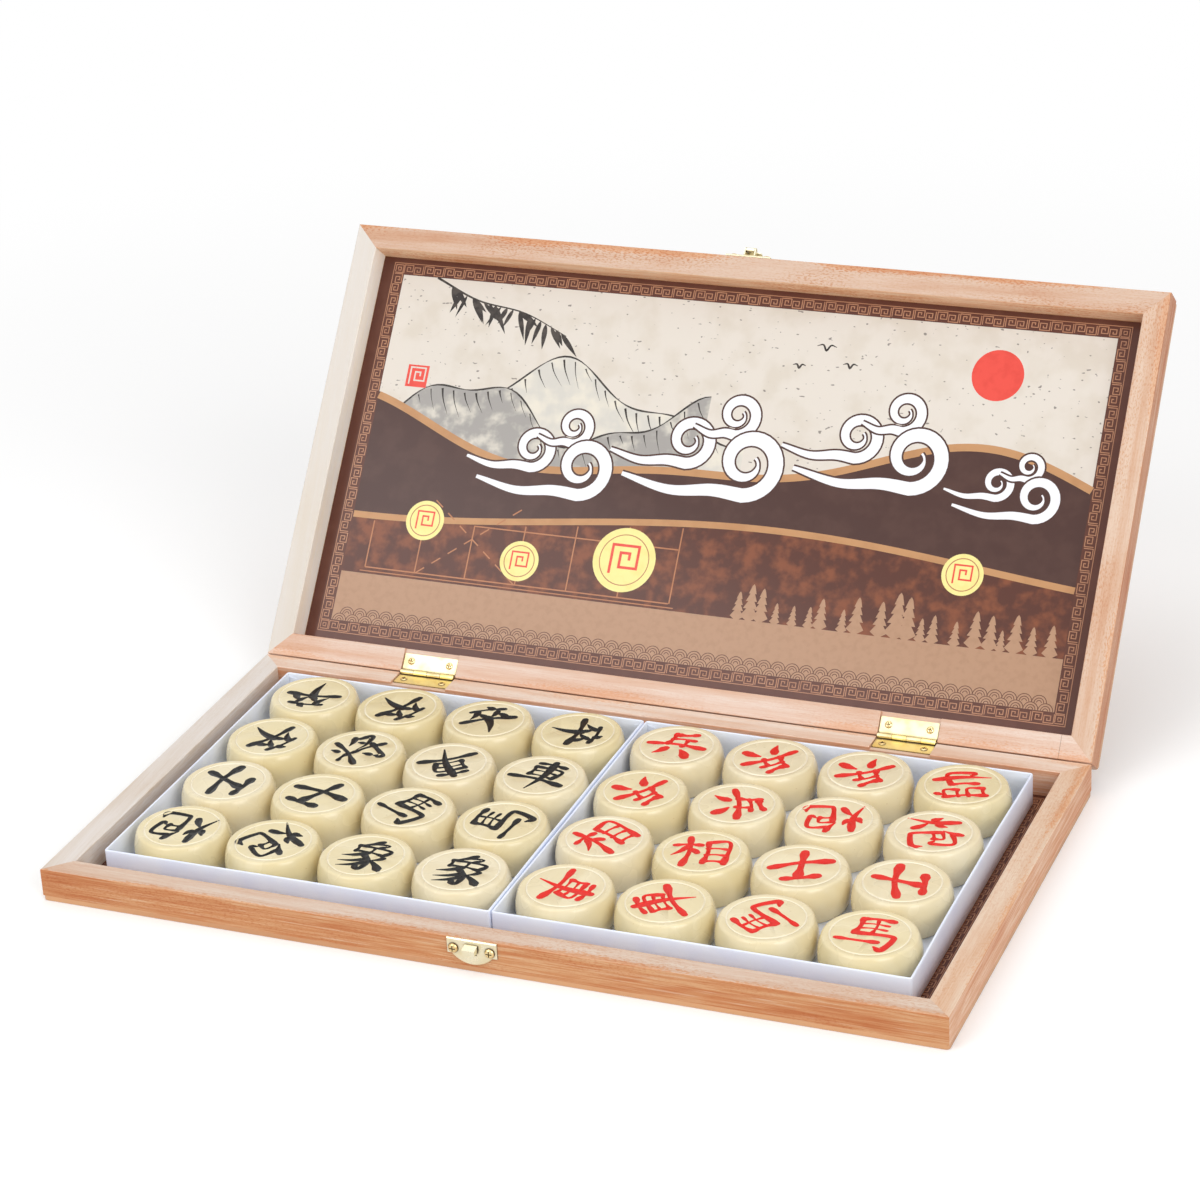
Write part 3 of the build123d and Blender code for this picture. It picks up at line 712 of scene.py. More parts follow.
lid_card = printed_mesh("lid_card", lid_print(), liner_thickness)
card_face = lid_underside + lid_inward * (panel_thickness + liner_thickness)
where = seat(card_face, (1, 0, 0), lid_up)
fit("lid_card_print", lid_card, where, "lid", "printed_card", liner_finishes, "lid_printed_card")


def base_print():
    """Fret, a dark field and a fine double line."""
    layers = liner_frame()
    layers.append((number["lower_brown"], block(field_left, field_foot, field_right, field_head)))
    for inset, width in ((4.0, 0.9), (6.0, 0.4)):
        left, right = field_left + inset, field_right - inset
        foot, head = field_foot + inset, field_head - inset
        layers += outline_frame(left, foot, right, head, width, number["grid_ochre"])
    return layers


base_sheet = printed_mesh("base_sheet", base_print(), liner_thickness)
where = seat((0, 0, liner_high.z), (1, 0, 0), (0, 1, 0))
fit("base_sheet_print", base_sheet, where, "base", "printed_card", liner_finishes, "base_printed_sheet")

# ---- Hinges, catch and latch ---------------------------------------------------------------
# Pressed brass, lightly plated: two butt hinges let into the rear rails, a hooked catch plate
# on the base and a swinging latch on the lid. Small brass screws with cross slots hold them.
brass_parts = {
    "base_leaf_brass_painted_bright": ["left_hinge_base_leaf", "right_hinge_base_leaf"],
    "lid_leaf_brass": ["left_hinge_lid_leaf", "right_hinge_lid_leaf"],
    "pin_brass": ["left_hinge_pin", "right_hinge_pin", "latch_pin"],
    "plate_brass": ["catch_plate", "latch_plate", "latch_arm"],
    "screw_brass": ["base_hinge_screws", "lid_hinge_screws", "catch_screws", "latch_screws"],
}
brass_colours = {
    # the base leaves get a paler, yellower brass than the lid leaves: painted light, standing in for the
    # brighter reflections they show
    "base_leaf_brass_painted_bright": (srgb(255, 238, 172), srgb(242, 210, 122), 0.4, 0.45),
    "lid_leaf_brass": (srgb(222, 208, 166), srgb(206, 184, 128), 0.3, 0.45),
    "pin_brass": (srgb(232, 208, 150), srgb(206, 172, 108), 0.28, 0.45),
    "plate_brass": (srgb(240, 232, 204), srgb(226, 210, 166), 0.24, 0.5),
    "screw_brass": (srgb(236, 212, 158), srgb(206, 166, 104), 0.24, 0.76),
}


def brass(name, bright, dull, roughness, full_shade_below):
    """Polished plate with fine rubbing marks. Its crevices, found by ambient occlusion, are painted duller
    and browner: painted shade, with some brown tarnish in the slots.
    """
    material, tree, place = start_finish(name)
    film = grain(tree, place, (7, 7, 7), 3.0, seed=2)
    rubbing = grain(tree, place, (5, 0.1, 5), 2.0, (0.3, 0.2, 0.7), seed=3)
    dents = grain(tree, place, (3.5, 3.5, 3.5), 1.0, seed=4)
    open_air = node(tree, "AmbientOcclusion", {"Distance": 1.2 * mm}, 1, samples=8)
    shaded_crevice = between(tree, open_air, full_shade_below, 0.97, 1.0, 0.0)
    colour = mixed(tree, between(tree, film, 0.4, 0.75, 0.0, 0.7), bright, dull)
    # painted shade: where ambient occlusion finds a crevice the brass turns dark brown, partly also standing
    # in for tarnish in the slots
    colour = mixed(tree, calc(tree, "MULTIPLY", shaded_crevice, 0.92), colour, srgb(66, 36, 20))
    rough = between(tree, film, 0.35, 0.75, roughness, roughness + 0.12)
    rough = calc(tree, "ADD", rough, calc(tree, "MULTIPLY", shaded_crevice, 0.3))
    relief = calc(tree, "ADD", calc(tree, "MULTIPLY", rubbing, 0.3), dents)
    end_finish(tree, colour, rough, relief, 0.004, Metallic=1.0)
    return material


for finish_name, parts in brass_parts.items():
    finish = brass(finish_name, *brass_colours[finish_name])
    for part in parts:
        frame["nodes"][part].data.materials.clear()
        frame["nodes"][part].data.materials.append(finish)

# ---- Card trays ----------------------------------------------------------------------------
# Two shallow trays of thin white board, folded up and glued at the corners with small flaps.
# They stand loose in the base, side by side, and their walls bow a little between the corners.
tray_wall, tray_floor = 1.0, 0.5
tray_corner, tray_inner_corner = 1.3, 0.3
foot_round = 0.35
wall_points = 14  # along each wall
flap_length, flap_thickness, flap_slant = 6.5, 0.25, 3.0
flap_drop, flap_end_drop = 1.6, 2.4  # below the tray's rim, at the corner and at the free end
flap_play, flap_sink = 0.02, 0.05  # clear of the end wall, and into the glue on the side wall
tray_bow = {"black": (0.25, 0.3, 0.25, 0.2), "red": (0.25, 0.75, 0.3, 0.25)}  # front, right, rear, left


def tray_ring(half_x, half_y, radius, height, bow, inset=0.0):
    """Points round a tray at one height. A wall bows inwards at its middle."""
    points = []
    sides = ((1, -1, -90), (1, 1, 0), (-1, 1, 90), (-1, -1, 180))
    lift = min(1.0, max(0.0, height / 12.0))
    for quarter, (x, y, start) in enumerate(sides):
        turn = [radians(start + 18 * k) for k in range(6)]
        x0, y0 = x * (half_x - inset - radius), y * (half_y - inset - radius)
        points += [(x0 + radius * cos(a), y0 + radius * sin(a)) for a in turn]
        x1, y1 = sides[(quarter + 1) % 4][:2]
        start_point = np.array(points[-1])
        end_point = np.array([x1 * (half_x - inset - radius), y1 * (half_y - inset - radius)])
        end_point += radius * np.array([cos(turn[-1]), sin(turn[-1])])
        inward = -np.array([cos(turn[-1]), sin(turn[-1])])
        for k in range(1, wall_points):
            share = k / wall_points
            wave = sin(pi * share) ** 2 * (1 + 0.35 * sin(3 * pi * share + quarter))
            bowed = inward * bow[(quarter + 1) % 4] * wave * lift
            points.append(tuple(start_point + (end_point - start_point) * share + bowed))
    return [(u * mm, v * mm, height * mm) for u, v in points]


def tray_mesh(name, half_x, half_y, height, bow):
    """The folded tray, its open side up and its floor's underside at zero."""
    shell = bmesh.new()
    fold_round = tray_wall / 2
    levels = [(foot_round, 0.0, tray_corner)]
    for level in (foot_round, height * 0.35, height * 0.7):
        levels.append((0.0, level, tray_corner))
    for k in range(7):
        angle = pi - pi * k / 6
        level = height - fold_round + fold_round * sin(angle)
        levels.append((fold_round + fold_round * cos(angle), level, None))
    for level in (height * 0.7, height * 0.35, tray_floor):
        levels.append((tray_wall, level, tray_inner_corner))
    rings = []
    for inset, level, radius in levels:
        if radius is None:
            radius = tray_corner + (tray_inner_corner - tray_corner) * inset / tray_wall
        ring = tray_ring(half_x, half_y, radius, level, bow, inset)
        rings.append([shell.verts.new(point) for point in ring])
    for lower, upper in zip(rings, rings[1:]):
        count = len(lower)
        for k in range(count):
            shell.faces.new((lower[k], lower[(k + 1) % count], upper[(k + 1) % count], upper[k]))
    shell.faces.new(rings[0][::-1])
    shell.faces.new(rings[-1])
    for x in (-1, 1):
        for y in (-1, 1):
            far = half_x - tray_wall - flap_play
            near = far - flap_length
            inner = half_y - tray_wall
            outline = [(far, tray_floor), (far, height - flap_drop)]
            outline += [(near + flap_slant, height - flap_end_drop), (near, tray_floor)]
            inside, glued = inner - flap_thickness, inner + flap_sink
            front = [shell.verts.new((x * u * mm, y * inside * mm, v * mm)) for u, v in outline]
            back = [shell.verts.new((x * u * mm, y * glued * mm, v * mm)) for u, v in outline]
            faces = [front, back[::-1]]
            faces += [(front[k], back[k], back[(k + 1) % 4], front[(k + 1) % 4]) for k in range(4)]
            for face in faces:
                shell.faces.new(face)
    bmesh.ops.recalc_face_normals(shell, faces=shell.faces)
    for face in shell.faces:
        face.smooth = len(face.verts) == 4 and abs(face.normal.z) < 0.99
    mesh = bpy.data.meshes.new(name)
    shell.to_mesh(mesh)
    shell.free()
    mesh.set_sharp_from_angle(angle=radians(50))
    return mesh


def white_card(name):
    """Bluish white coated board with faint fibres and a soft roll to its surface."""
    material, tree, place = start_finish(name)
    fibre = grain(tree, place, (0.5, 0.5, 0.5), 3.0)
    cloud = grain(tree, place, (16, 16, 16), 2.0)
    roll = grain(tree, place, (30, 30, 9), 1.0)
    colour = mixed(tree, between(tree, cloud, 0.35, 0.7), srgb(236, 242, 255), srgb(229, 236, 255))
    colour = mixed(tree, between(tree, fibre, 0.55, 0.75, 0.0, 0.12), colour, srgb(206, 204, 204))
    relief = calc(tree, "ADD", calc(tree, "MULTIPLY", fibre, 0.12), roll)
    end_finish(tree, colour, 0.55, relief, 0.12, Specular_IOR_Level=0.35)
    return material


card = white_card("white_card")
for colour in ("black", "red"):
    low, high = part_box(colour + "_tray")
    middle = (low + high) / 2
    half_x, half_y, height = (high.x - low.x) / 2 / mm, (high.y - low.y) / 2 / mm, (high.z - low.z) / mm
    mesh = tray_mesh(colour + "_card_tray", half_x, half_y, height, tray_bow[colour])
    where = Matrix.Translation((middle.x, middle.y, low.z))
    fit(colour + "_card_tray", mesh, where, colour + "_tray", "tray_card", [card], colour + "_tray")

# ---- Pieces --------------------------------------------------------------------------------
# Thirty-two turned discs of cast ivory-coloured resin with barrel sides and a cut ring on the
# face. The mark is cut as a V and painted, black for one set and red for the other.
BAR, TAPER, DOT, PRESS, HOOK = "bar", "taper", "dot", "press", "hook"
# strokes are (shape, width, points) in millimetres on an upright face, X to the right, Y upwards
marks = {
    "advisor": [
        (BAR, 2.8, [(-11, -0.5), (11, 3.5)]),
        (BAR, 2.9, [(1.5, 10.5), (0.2, 1), (-1.2, -7.5)]),
        (BAR, 2.7, [(-6.5, -8.8), (0, -8.2), (6, -7)]),
    ],
    "black_soldier": [
        (DOT, 2.4, [(0.5, 10.5), (2, 8.8)]),
        (BAR, 1.7, [(-6.5, 7), (7, 8)]),
        (TAPER, 2.1, [(-3.5, 6.5), (-7, 1)]),
        (DOT, 2.0, [(-3.5, 5), (-1, 2)]),
        (TAPER, 2.0, [(4.2, 6.3), (1, 1.4)]),
        (DOT, 2.1, [(4, 5), (7.2, 1.6)]),
        (BAR, 2.3, [(-10.5, -1.6), (10.5, 0.2)]),
        (TAPER, 2.6, [(0, 1.8), (0, -11)]),
    ],
    "red_soldier": [
        (BAR, 2.4, [(4.5, 10.5), (-2.5, 8.3)]),
        (BAR, 2.1, [(-3.5, 9), (-4, 0.5)]),
        (BAR, 1.7, [(-3.5, 4.6), (5.5, 5.6)]),
        (BAR, 1.9, [(2.8, 5), (2.4, 0)]),
        (BAR, 2.3, [(-11, -1.2), (11, 0.6)]),
        (TAPER, 2.6, [(-3, -3.2), (-6.5, -8.5)]),
        (DOT, 2.8, [(3, -3), (6.8, -7.8)]),
    ],
    "black_general": [
        (BAR, 2.1, [(-6, 9.5), (-6.2, -9.5)]),
        (DOT, 1.9, [(-9.8, 5), (-8.2, 2.5)]),
        (BAR, 1.8, [(-10.5, -4), (-6, -1.2)]),
        (TAPER, 2.1, [(2, 10), (-2.5, 5)]),
        (TAPER, 1.9, [(3.5, 8.6), (8.5, 8.2), (4, 3), (-1, 0.8)]),
        (DOT, 1.7, [(1.8, 6), (3.2, 4.6)]),
        (BAR, 1.9, [(-3.5, -1), (10.5, 0)]),
        (HOOK, 2.2, [(6.2, 2.6), (6.2, -8.8), (3.4, -7.2)]),
        (DOT, 1.9, [(0.2, -3.4), (2.2, -5.8)]),
    ],
    "red_general": [
        (TAPER, 2.0, [(-6, 10.3), (-7.6, 7.8)]),
        (BAR, 2.0, [(-9, 7.6), (-9, -8)]),
        (BAR, 1.7, [(-9, 7.2), (-3.5, 7.2), (-3.5, 2.2)]),
        (BAR, 1.5, [(-9, 2.2), (-3.5, 2.2)]),
        (BAR, 1.7, [(-9, -1.6), (-3, -1.6), (-3, -7.4)]),
        (BAR, 1.7, [(-9, -7.6), (-3, -7.4)]),
        (BAR, 2.0, [(0.6, 4.6), (0.6, -5.5)]),
        (HOOK, 2.0, [(0.6, 4.4), (9.2, 4.8), (9, -4.6), (6.8, -3.4)]),
        (TAPER, 2.4, [(4.9, 10), (4.9, -11)]),
    ],
    "red_elephant": [
        (BAR, 1.9, [(-10.5, 3.8), (-0.8, 4.8)]),
        (BAR, 2.2, [(-5.6, 10), (-5.8, -10.5)]),
        (TAPER, 2.0, [(-5.6, 3.4), (-10.8, -3.6)]),
        (DOT, 2.0, [(-4.8, 2.2), (-1.6, -0.8)]),
        (BAR, 2.0, [(1.6, 7), (1.6, -8)]),
        (BAR, 2.0, [(1.6, 7), (9.6, 7.4), (9.4, -8)]),
        (BAR, 1.4, [(1.8, 2.4), (9.2, 2.6)]),
        (BAR, 1.4, [(1.8, -2.2), (9.2, -2)]),
        (BAR, 1.7, [(1.8, -7), (9.2, -6.8)]),
    ],
    "horse": [
        (BAR, 2.1, [(-5.2, 9.5), (-5.6, -0.6)]),
        (BAR, 2.0, [(-5.2, 9.3), (6, 10)]),
        (BAR, 1.3, [(0.4, 9.6), (0.4, 0)]),
        (BAR, 1.1, [(-5, 6), (5, 6.6)]),
        (BAR, 1.1, [(-5, 2.9), (5, 3.5)]),
        (HOOK, 2.2, [(-5.6, -0.6), (7.2, 0.2), (9, -2.5), (6.8, -9.6), (3.8, -8.2)]),
        (BAR, 1.9, [(-10.8, -5.6), (-2, -5.4), (4, -5)]),
    ],
    "chariot": [
        (BAR, 1.9, [(-5.5, 8.6), (5.5, 9.4)]),
        (BAR, 1.8, [(-5.5, 6), (-5, -0.6)]),
        (BAR, 1.8, [(-5.5, 5.8), (5.8, 6.4), (5.2, -0.4)]),
        (BAR, 1.1, [(-5, 2.8), (5.2, 3.1)]),
        (BAR, 1.2, [(-5, -0.6), (5, -0.3)]),
        (BAR, 2.3, [(-11, -4.6), (11, -3.4)]),
        (TAPER, 2.5, [(0, 11.3), (0, -11.3)]),
    ],
    "cannon": [
        (DOT, 2.0, [(-10.4, 3.6), (-9.2, 0.6)]),
        (DOT, 1.9, [(-3.6, 5), (-5.2, 1.8)]),
        (TAPER, 2.3, [(-6.8, 9.6), (-7.2, 0), (-11, -9)]),
        (DOT, 2.1, [(-6.6, -2), (-3.4, -7.2)]),
        (TAPER, 2.0, [(2.8, 10.3), (-0.8, 3.8)]),
        (HOOK, 1.8, [(1.4, 7), (9.4, 7.2), (8.8, -0.8), (6.6, 0.2)]),
        (BAR, 1.5, [(0.4, 3.4), (5.4, 3.6), (5.2, -0.4)]),
        (BAR, 1.5, [(0.6, -0.2), (5.2, 0)]),
        (HOOK, 2.0, [(0.4, 3.2), (0.4, -7), (2.6, -8.6), (10, -8.2), (10.6, -4.6)]),
    ],
    "black_elephant": [
        (TAPER, 2.0, [(1, 11), (-4.8, 6.6)]),
        (BAR, 1.6, [(-0.6, 9.2), (4.6, 9.4), (2, 6.6)]),
        (BAR, 1.6, [(-6, 5.8), (-5.4, 1.6)]),
        (BAR, 1.7, [(-6, 5.8), (7, 6.2), (6.2, 1.8)]),
        (BAR, 1.4, [(-5.4, 1.8), (6.2, 2)]),
        (BAR, 1.4, [(0.6, 6), (0.2, 2)]),
        (TAPER, 2.0, [(0, 1.8), (-8.5, -3)]),
        (HOOK, 2.2, [(-1.4, 0.6), (3.2, -3.6), (2.6, -9.4), (-0.6, -8)]),
        (TAPER, 1.8, [(2.2, -2), (-7.8, -7)]),
        (TAPER, 1.8, [(2.8, -4.4), (-6.6, -10.4)]),
        (TAPER, 1.7, [(7.6, 0.6), (3.6, -2.6)]),
        (PRESS, 2.4, [(3.4, -2.6), (10.8, -8.6)]),
    ],
}
# degrees each piece lies turned, anticlockwise from upright, rear row first
turned = {
    "black": ((180, -123, 25, -94), (-123, 45, -147, -12), (72, -23, -28, 82), (178, -125, -8, -5)),
    "red": ((-4, -140, -148, 110), (-130, -74, -165, -72), (62, 10, 18, 93), (-104, 124, 143, 0)),
}
face_radius, piece_height = 18.2, 16.0
edge_round, side_swell = 1.3, 1.8
cut_ring, cut_ring_width, cut_ring_depth = 15.3, 0.9, 0.35
ring_lip, ring_lip_drop = 0.08, 0.06  # the softened edges of the cut ring
ring_slopes = (2, 3)  # which bands of the profile are the ring's two slopes
edge_steps, side_steps = 6, 14
mark_field = 14.4  # the mark stays inside this radius
around = 96
groove_depth, groove_slope = 0.55, 0.65
stroke_step, stroke_bow = 0.35, 0.06
mark_size, stroke_weight = 1.07, 1.3


def brush(shape, width, points):
    """Centres and radii along one stroke, slightly bowed, thick where the brush presses."""
    points = np.array(points, float) * mark_size
    if len(points) == 2:
        along = points[1] - points[0]
        middle = points.mean(0) + stroke_bow * np.array([-along[1], along[0]])
        points = np.array([points[0], middle, points[1]])
    points = curve(points, 6)
    legs = np.linalg.norm(np.diff(points, axis=0), axis=1)
    run = np.concatenate([[0], np.cumsum(legs)])
    count = max(6, int(run[-1] / stroke_step))
    share = np.linspace(0, 1, count + 1)
    at = share * run[-1]
    centres = np.stack([np.interp(at, run, points[:, k]) for k in (0, 1)], 1)
    ends = {
        "bar": np.interp(share, [0, 0.1, 0.3, 0.7, 0.9, 1], [0.9, 1.12, 0.66, 0.7, 1.3, 1.05]),
        "taper": np.interp(share, [0, 0.15, 0.55, 1], [0.9, 1.25, 0.85, 0.2]),
        "dot": np.interp(share, [0, 0.35, 0.75, 1], [0.36, 0.9, 1.3, 1.05]),
        "press": np.interp(share, [0, 0.45, 0.8, 1], [0.45, 0.85, 1.4, 0.3]),
        "hook": np.interp(share, [0, 0.08, 0.3, 0.78, 0.9, 1], [0.95, 1.15, 0.74, 1.0, 1.25, 0.35]),
    }[shape]
    ends = np.convolve(np.pad(ends, 2, "edge"), [0.1, 0.2, 0.4, 0.2, 0.1], "valid")
    return centres, stroke_weight * width / 2 * ends


def stroke_outline(centres, radii):
    """Outline of a stroke with rounded ends, its joints cut square."""
    step = np.gradient(centres, axis=0)
    step /= np.linalg.norm(step, axis=1)[:, None]
    normal = np.stack([-step[:, 1], step[:, 0]], 1)
    left, right = centres + normal * radii[:, None], centres - normal * radii[:, None]
    caps = []
    for end, way in ((-1, 1), (0, -1)):
        base = np.arctan2(*(normal[end] * way)[::-1])
        arc = base - np.linspace(0, pi, 11)[1:-1]
        caps.append(centres[end] + radii[end] * np.stack([np.cos(arc), np.sin(arc)], 1))
    return [*left, *caps[0], *right[::-1], *caps[1]]


def carved_face(bottom, strokes):
    """Adds the face inside the mark's field, V-cut along the strokes; returns its rim."""
    points = [Vector(point) for point in disc(0, 0, mark_field, around)]
    outlines, centre_lines = [list(range(around))], []
    all_centres, all_radii = [], []
    for shape, width, line in strokes:
        centres, radii = brush(shape, width, line)
        all_centres.append(centres)
        all_radii.append(radii)
        outline = anticlockwise(stroke_outline(centres, radii))
        outlines.append(list(range(len(points), len(points) + len(outline))))
        points += outline
        first = len(points)
        points += [Vector(point) for point in centres]
        centre_lines += [(k, k + 1) for k in range(first, len(points) - 1)]
    all_centres, all_radii = np.concatenate(all_centres), np.concatenate(all_radii)
    spots, _, tiles, _, _, owners = delaunay_2d_cdt(points, centre_lines, outlines, 0, 1e-4, True)
    flat = np.array([tuple(spot) for spot in spots])
    inside = all_radii[None, :] - np.linalg.norm(flat[:, None, :] - all_centres[None, :, :], axis=2)
    cut = np.minimum(groove_depth, groove_slope * np.maximum(0, inside.max(1)))
    level = {corner for tile, owner in zip(tiles, owners) if max(owner, default=0) == 0 for corner in tile}
    cut[sorted(level)] = 0
    corners = [bottom.verts.new((x * mm, y * mm, (piece_height - z) * mm)) for (x, y), z in zip(flat, cut)]
    for tile, owner in zip(tiles, owners):
        if owner:
            face = bottom.faces.new([corners[k] for k in tile])
            face.material_index = 1 if max(owner) > 0 else 0
    rim = [corner for corner, (x, y) in zip(corners, flat) if abs(np.hypot(x, y) - mark_field) < 1e-3]
    return sorted(rim, key=lambda corner: np.arctan2(corner.co.y, corner.co.x))


def turned_profile():
    """Radius and height from the mark's field outwards, over the side and under to the middle."""
    half_ring = cut_ring_width / 2
    top = piece_height
    ring = [
        (cut_ring - half_ring - ring_lip, top),
        (cut_ring - half_ring + ring_lip, top - ring_lip_drop),
        (cut_ring, top - cut_ring_depth),
        (cut_ring + half_ring - ring_lip, top - ring_lip_drop),
        (cut_ring + half_ring + ring_lip, top),
    ]
    rise = side_swell
    sag = (top / 2) ** 2
    side_radius = (sag + rise**2) / (2 * rise)
    middle = face_radius + rise - side_radius
    shoulder = np.sqrt((side_radius - edge_round) ** 2 - (top / 2 - edge_round) ** 2) + middle
    start = np.arctan2(top / 2 - edge_round, shoulder - middle)
    edge, side = [], []
    for k in range(edge_steps + 1):
        angle = pi / 2 - (pi / 2 - start) * k / edge_steps
        edge.append((shoulder + edge_round * cos(angle), top - edge_round + edge_round * sin(angle)))
    for k in range(1, side_steps):
        angle = start * (1 - 2 * k / side_steps)
        side.append((middle + side_radius * cos(angle), top / 2 + side_radius * sin(angle)))
    return ring + edge + side + [(radius, top - height) for radius, height in reversed(edge)]


def piece_mesh(name, strokes):
    """One kind of piece, standing on zero."""
    body = bmesh.new()
    ring = carved_face(body, strokes)
    for step, (radius, height) in enumerate(turned_profile()):
        grown = []
        for corner in ring:
            stretch = radius * mm / corner.co.xy.length
            grown.append(body.verts.new((stretch * corner.co.x, stretch * corner.co.y, height * mm)))
        for k in range(around):
            side = body.faces.new((ring[k], grown[k], grown[(k + 1) % around], ring[(k + 1) % around]))
            # the cut ring's two slopes take the whitened resin, a painted highlight
            side.material_index = 2 if step in ring_slopes else 0
        ring = grown
    body.faces.new(ring)
    bmesh.ops.recalc_face_normals(body, faces=body.faces)
    for face in body.faces:
        face.smooth = abs(face.normal.z) < 0.999
    mesh = bpy.data.meshes.new(name)
    body.to_mesh(mesh)
    body.free()
    mesh.set_sharp_from_angle(angle=radians(28))
    return mesh


def ivory(name, painted_highlight):
    """Polished cast resin: pale bands and clouds, a little yellower in some pieces. The highlight share
    whitens it as a painted highlight.
    """
    material, tree, place = start_finish(name)
    own_tone = node(tree, "ObjectInfo", output=1)
    bands = grain(tree, place, (60, 6.5, 26), 2.0, (0.1, 0.35, 0.2))
    clouds = grain(tree, place, (15, 15, 15), 2.0)
    specks = grain(tree, place, (0.9, 0.9, 0.9), 1.0)
    colour = mixed(tree, between(tree, bands, 0.35, 0.75, 0.0, 0.22), own_tone, srgb(248, 240, 216))
    colour = mixed(tree, between(tree, clouds, 0.4, 0.8, 0.0, 0.18), colour, srgb(232, 208, 148))
    colour = mixed(tree, between(tree, specks, 0.76, 0.8, 0.0, 0.35), colour, srgb(190, 150, 96))
    waves = grain(tree, place, (6, 6, 6), 1.0)
    end_finish(
        tree,
        mixed(tree, painted_highlight, colour, srgb(252, 248, 236)),
        between(tree, clouds, 0.3, 0.7, 0.3, 0.22),
        waves,
        0.003,
        Coat_Weight=0.35,
        Coat_Roughness=0.08,
    )
    return material


def mark_paint(name, colour, thin):
    """Enamel brushed into the cut, thinner in places."""
    material, tree, place = start_finish(name)
    patches = grain(tree, place, (1.6, 1.6, 1.6), 2.0)
    tone = mixed(tree, between(tree, patches, 0.5, 0.8, 0.0, 0.4), colour, thin)
    end_finish(tree, tone, 0.34, patches, 0.04, Specular_IOR_Level=0.2, Coat_Weight=0.15, Coat_Roughness=0.12)
    return material


paints = {
    "black": mark_paint("black_enamel", srgb(12, 11, 11), srgb(26, 24, 22)),
    "red": mark_paint("red_enamel", srgb(222, 38, 28), srgb(206, 46, 38)),
}
# the cut ring's slopes are painted whiter than the face, a painted highlight for the light they catch
resin, ring_highlight_resin = ivory("ivory_resin", 0.0), ivory("ring_highlight_resin", 0.4)
set_tone = {"black": (228, 213, 172), "red": (229, 214, 174)}
sets = {
    "black": (
        ("soldier_1", "soldier_2", "soldier_3", "soldier_4"),
        ("soldier_5", "general", "chariot_1", "chariot_2"),
        ("advisor_1", "advisor_2", "horse_1", "horse_2"),
        ("cannon_1", "cannon_2", "elephant_1", "elephant_2"),
    ),
    "red": (
        ("soldier_1", "soldier_2", "soldier_3", "general"),
        ("soldier_4", "soldier_5", "cannon_1", "cannon_2"),
        ("elephant_1", "elephant_2", "advisor_1", "advisor_2"),
        ("chariot_1", "chariot_2", "horse_1", "horse_2"),
    ),
}
tone_range = random.Random(4)
for colour, rows in sets.items():
    meshes = {}
    for row, kinds in enumerate(rows):
        for column, kind in enumerate(kinds):
            node_name = colour + "_" + kind
            rank = kind.split("_")[0]
            if rank not in meshes:
                own = marks.get(colour + "_" + rank) or marks[rank]
                meshes[rank] = piece_mesh(colour + "_" + rank + "_disc", own)
            low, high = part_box(node_name)
            turn = Matrix.Rotation(radians(turned[colour][row][column]), 4, "Z")
            where = Matrix.Translation(((low.x + high.x) / 2, (low.y + high.y) / 2, low.z)) @ turn
            finishes = (resin, paints[colour], ring_highlight_resin)
            slot = "piece_wood_" + colour
            disc_piece = fit(node_name + "_disc", meshes[rank], where, node_name, slot, finishes, node_name)
            shade = tone_range.uniform(-1, 1)
            red, green, blue = set_tone[colour]
            disc_piece.color = srgb(red + 2 * shade, green + 3 * shade, blue + 9 * shade)

# ---- Floor, light and camera ---------------------------------------------------------------
# The box stands on a seamless white table, under one broad soft light from above and two more
# from the front, left and right. Away from the object the table fades to plain white.
floor_radius = 6.0
floor_drop = 0.2 * mm
table_lift = 0.13
table_fade = (0.4, 0.95)
room_light = 0.56


def area_lamp(name, place, aim, width, depth, watts):
    lamp = bpy.data.lights.new(name, "AREA")
    lamp.shape, lamp.size, lamp.size_y, lamp.energy = "RECTANGLE", width, depth, watts
    holder = bpy.data.objects.new(name, lamp)
    bpy.context.scene.collection.objects.link(holder)
    holder.location = place
    holder.rotation_euler = (Vector(aim) - Vector(place)).to_track_quat("-Z", "Y").to_euler()
    return holder


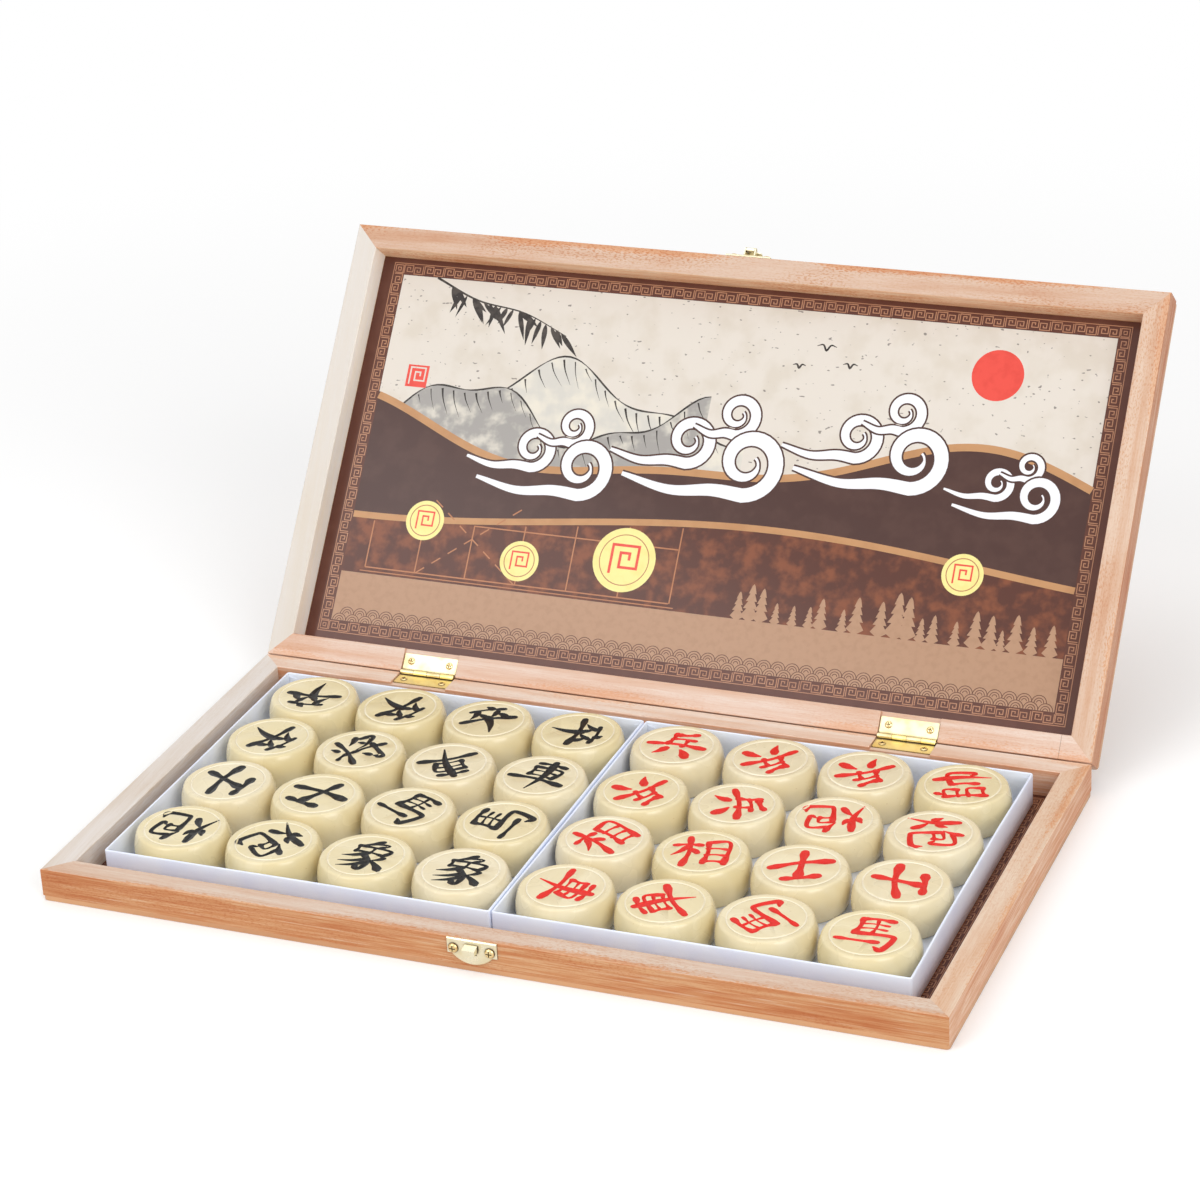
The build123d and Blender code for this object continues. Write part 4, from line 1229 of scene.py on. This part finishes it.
def white_table():
    """A pale matt surface, lifted a little for the eye only, so that it keeps the shadows.
    It fades to plain white away from the object."""
    material, tree, place = start_finish("white_table")
    smudge = grain(tree, place, (400, 400, 400), 1.0)
    pale = mixed(tree, smudge, (0.89, 0.89, 0.89, 1), (0.9, 0.9, 0.9, 1))
    body = node(tree, "BsdfDiffuse", {"Color": pale})
    seen = node(tree, "LightPath", output=0)
    glow = node(tree, "Emission", {"Strength": calc(tree, "MULTIPLY", seen, table_lift)})
    near = node(tree, "AddShader", {0: body, 1: glow})
    distance = node(tree, "VectorMath", {0: place}, 1, operation="LENGTH")
    far = calc(tree, "MULTIPLY", between(tree, distance, *table_fade), seen)
    plain = node(tree, "Emission", {"Strength": 1.0})
    node(tree, "OutputMaterial", {0: node(tree, "MixShader", {0: far, 1: near, 2: plain})})
    return material


disc_table = bmesh.new()
bmesh.ops.create_circle(disc_table, cap_ends=True, segments=96, radius=floor_radius)
table_mesh = bpy.data.meshes.new("table")
disc_table.to_mesh(table_mesh)
disc_table.free()
table_mesh.materials.append(white_table())
table = bpy.data.objects.new("table", table_mesh)
table.location.z = -floor_drop
bpy.context.scene.collection.objects.link(table)

lamps = [
    area_lamp("overhead_softbox", (-0.2, 0.1, 1.9), (0, 0, 0.05), 1.6, 1.2, 8),
    area_lamp("front_left_softbox", (-0.75, -1.35, 1.15), (0, 0, 0.08), 1.0, 1.0, 10),
    area_lamp("front_right_softbox", (1.6, -1.2, 1.15), (0, 0, 0.1), 1.3, 1.3, 21),
]

world = bpy.data.worlds.new("white_room")
bpy.context.scene.world = world
world.use_nodes = True
sky = world.node_tree
sky.nodes.clear()
rays = sky.nodes.new("ShaderNodeLightPath")
seen = calc(sky, "MAXIMUM", rays.outputs["Is Camera Ray"], rays.outputs["Is Glossy Ray"])
seen = calc(sky, "MAXIMUM", seen, rays.outputs["Is Transmission Ray"])
strength = between(sky, seen, 0.0, 1.0, room_light, 1.0)
room = node(sky, "Background", {"Color": (1, 1, 1, 1), "Strength": strength})
node(sky, "OutputWorld", {0: room})

camera = bpy.data.objects.new("camera", bpy.data.cameras.new("camera"))
bpy.context.scene.collection.objects.link(camera)
camera.location = (0.508894, -1.159832, 0.702254)
camera.rotation_euler = Euler([radians(angle) for angle in (65.01311617, 3.08683757, 22.14151052)])
camera.data.sensor_width, camera.data.lens = 36.0, 106.457
camera.data.shift_x, camera.data.shift_y = 0.02953, -0.00442
camera.data.dof.use_dof = False
bpy.context.scene.camera = camera
bpy.context.scene.view_settings.view_transform = "Standard"

bpy.context.view_layer.update()
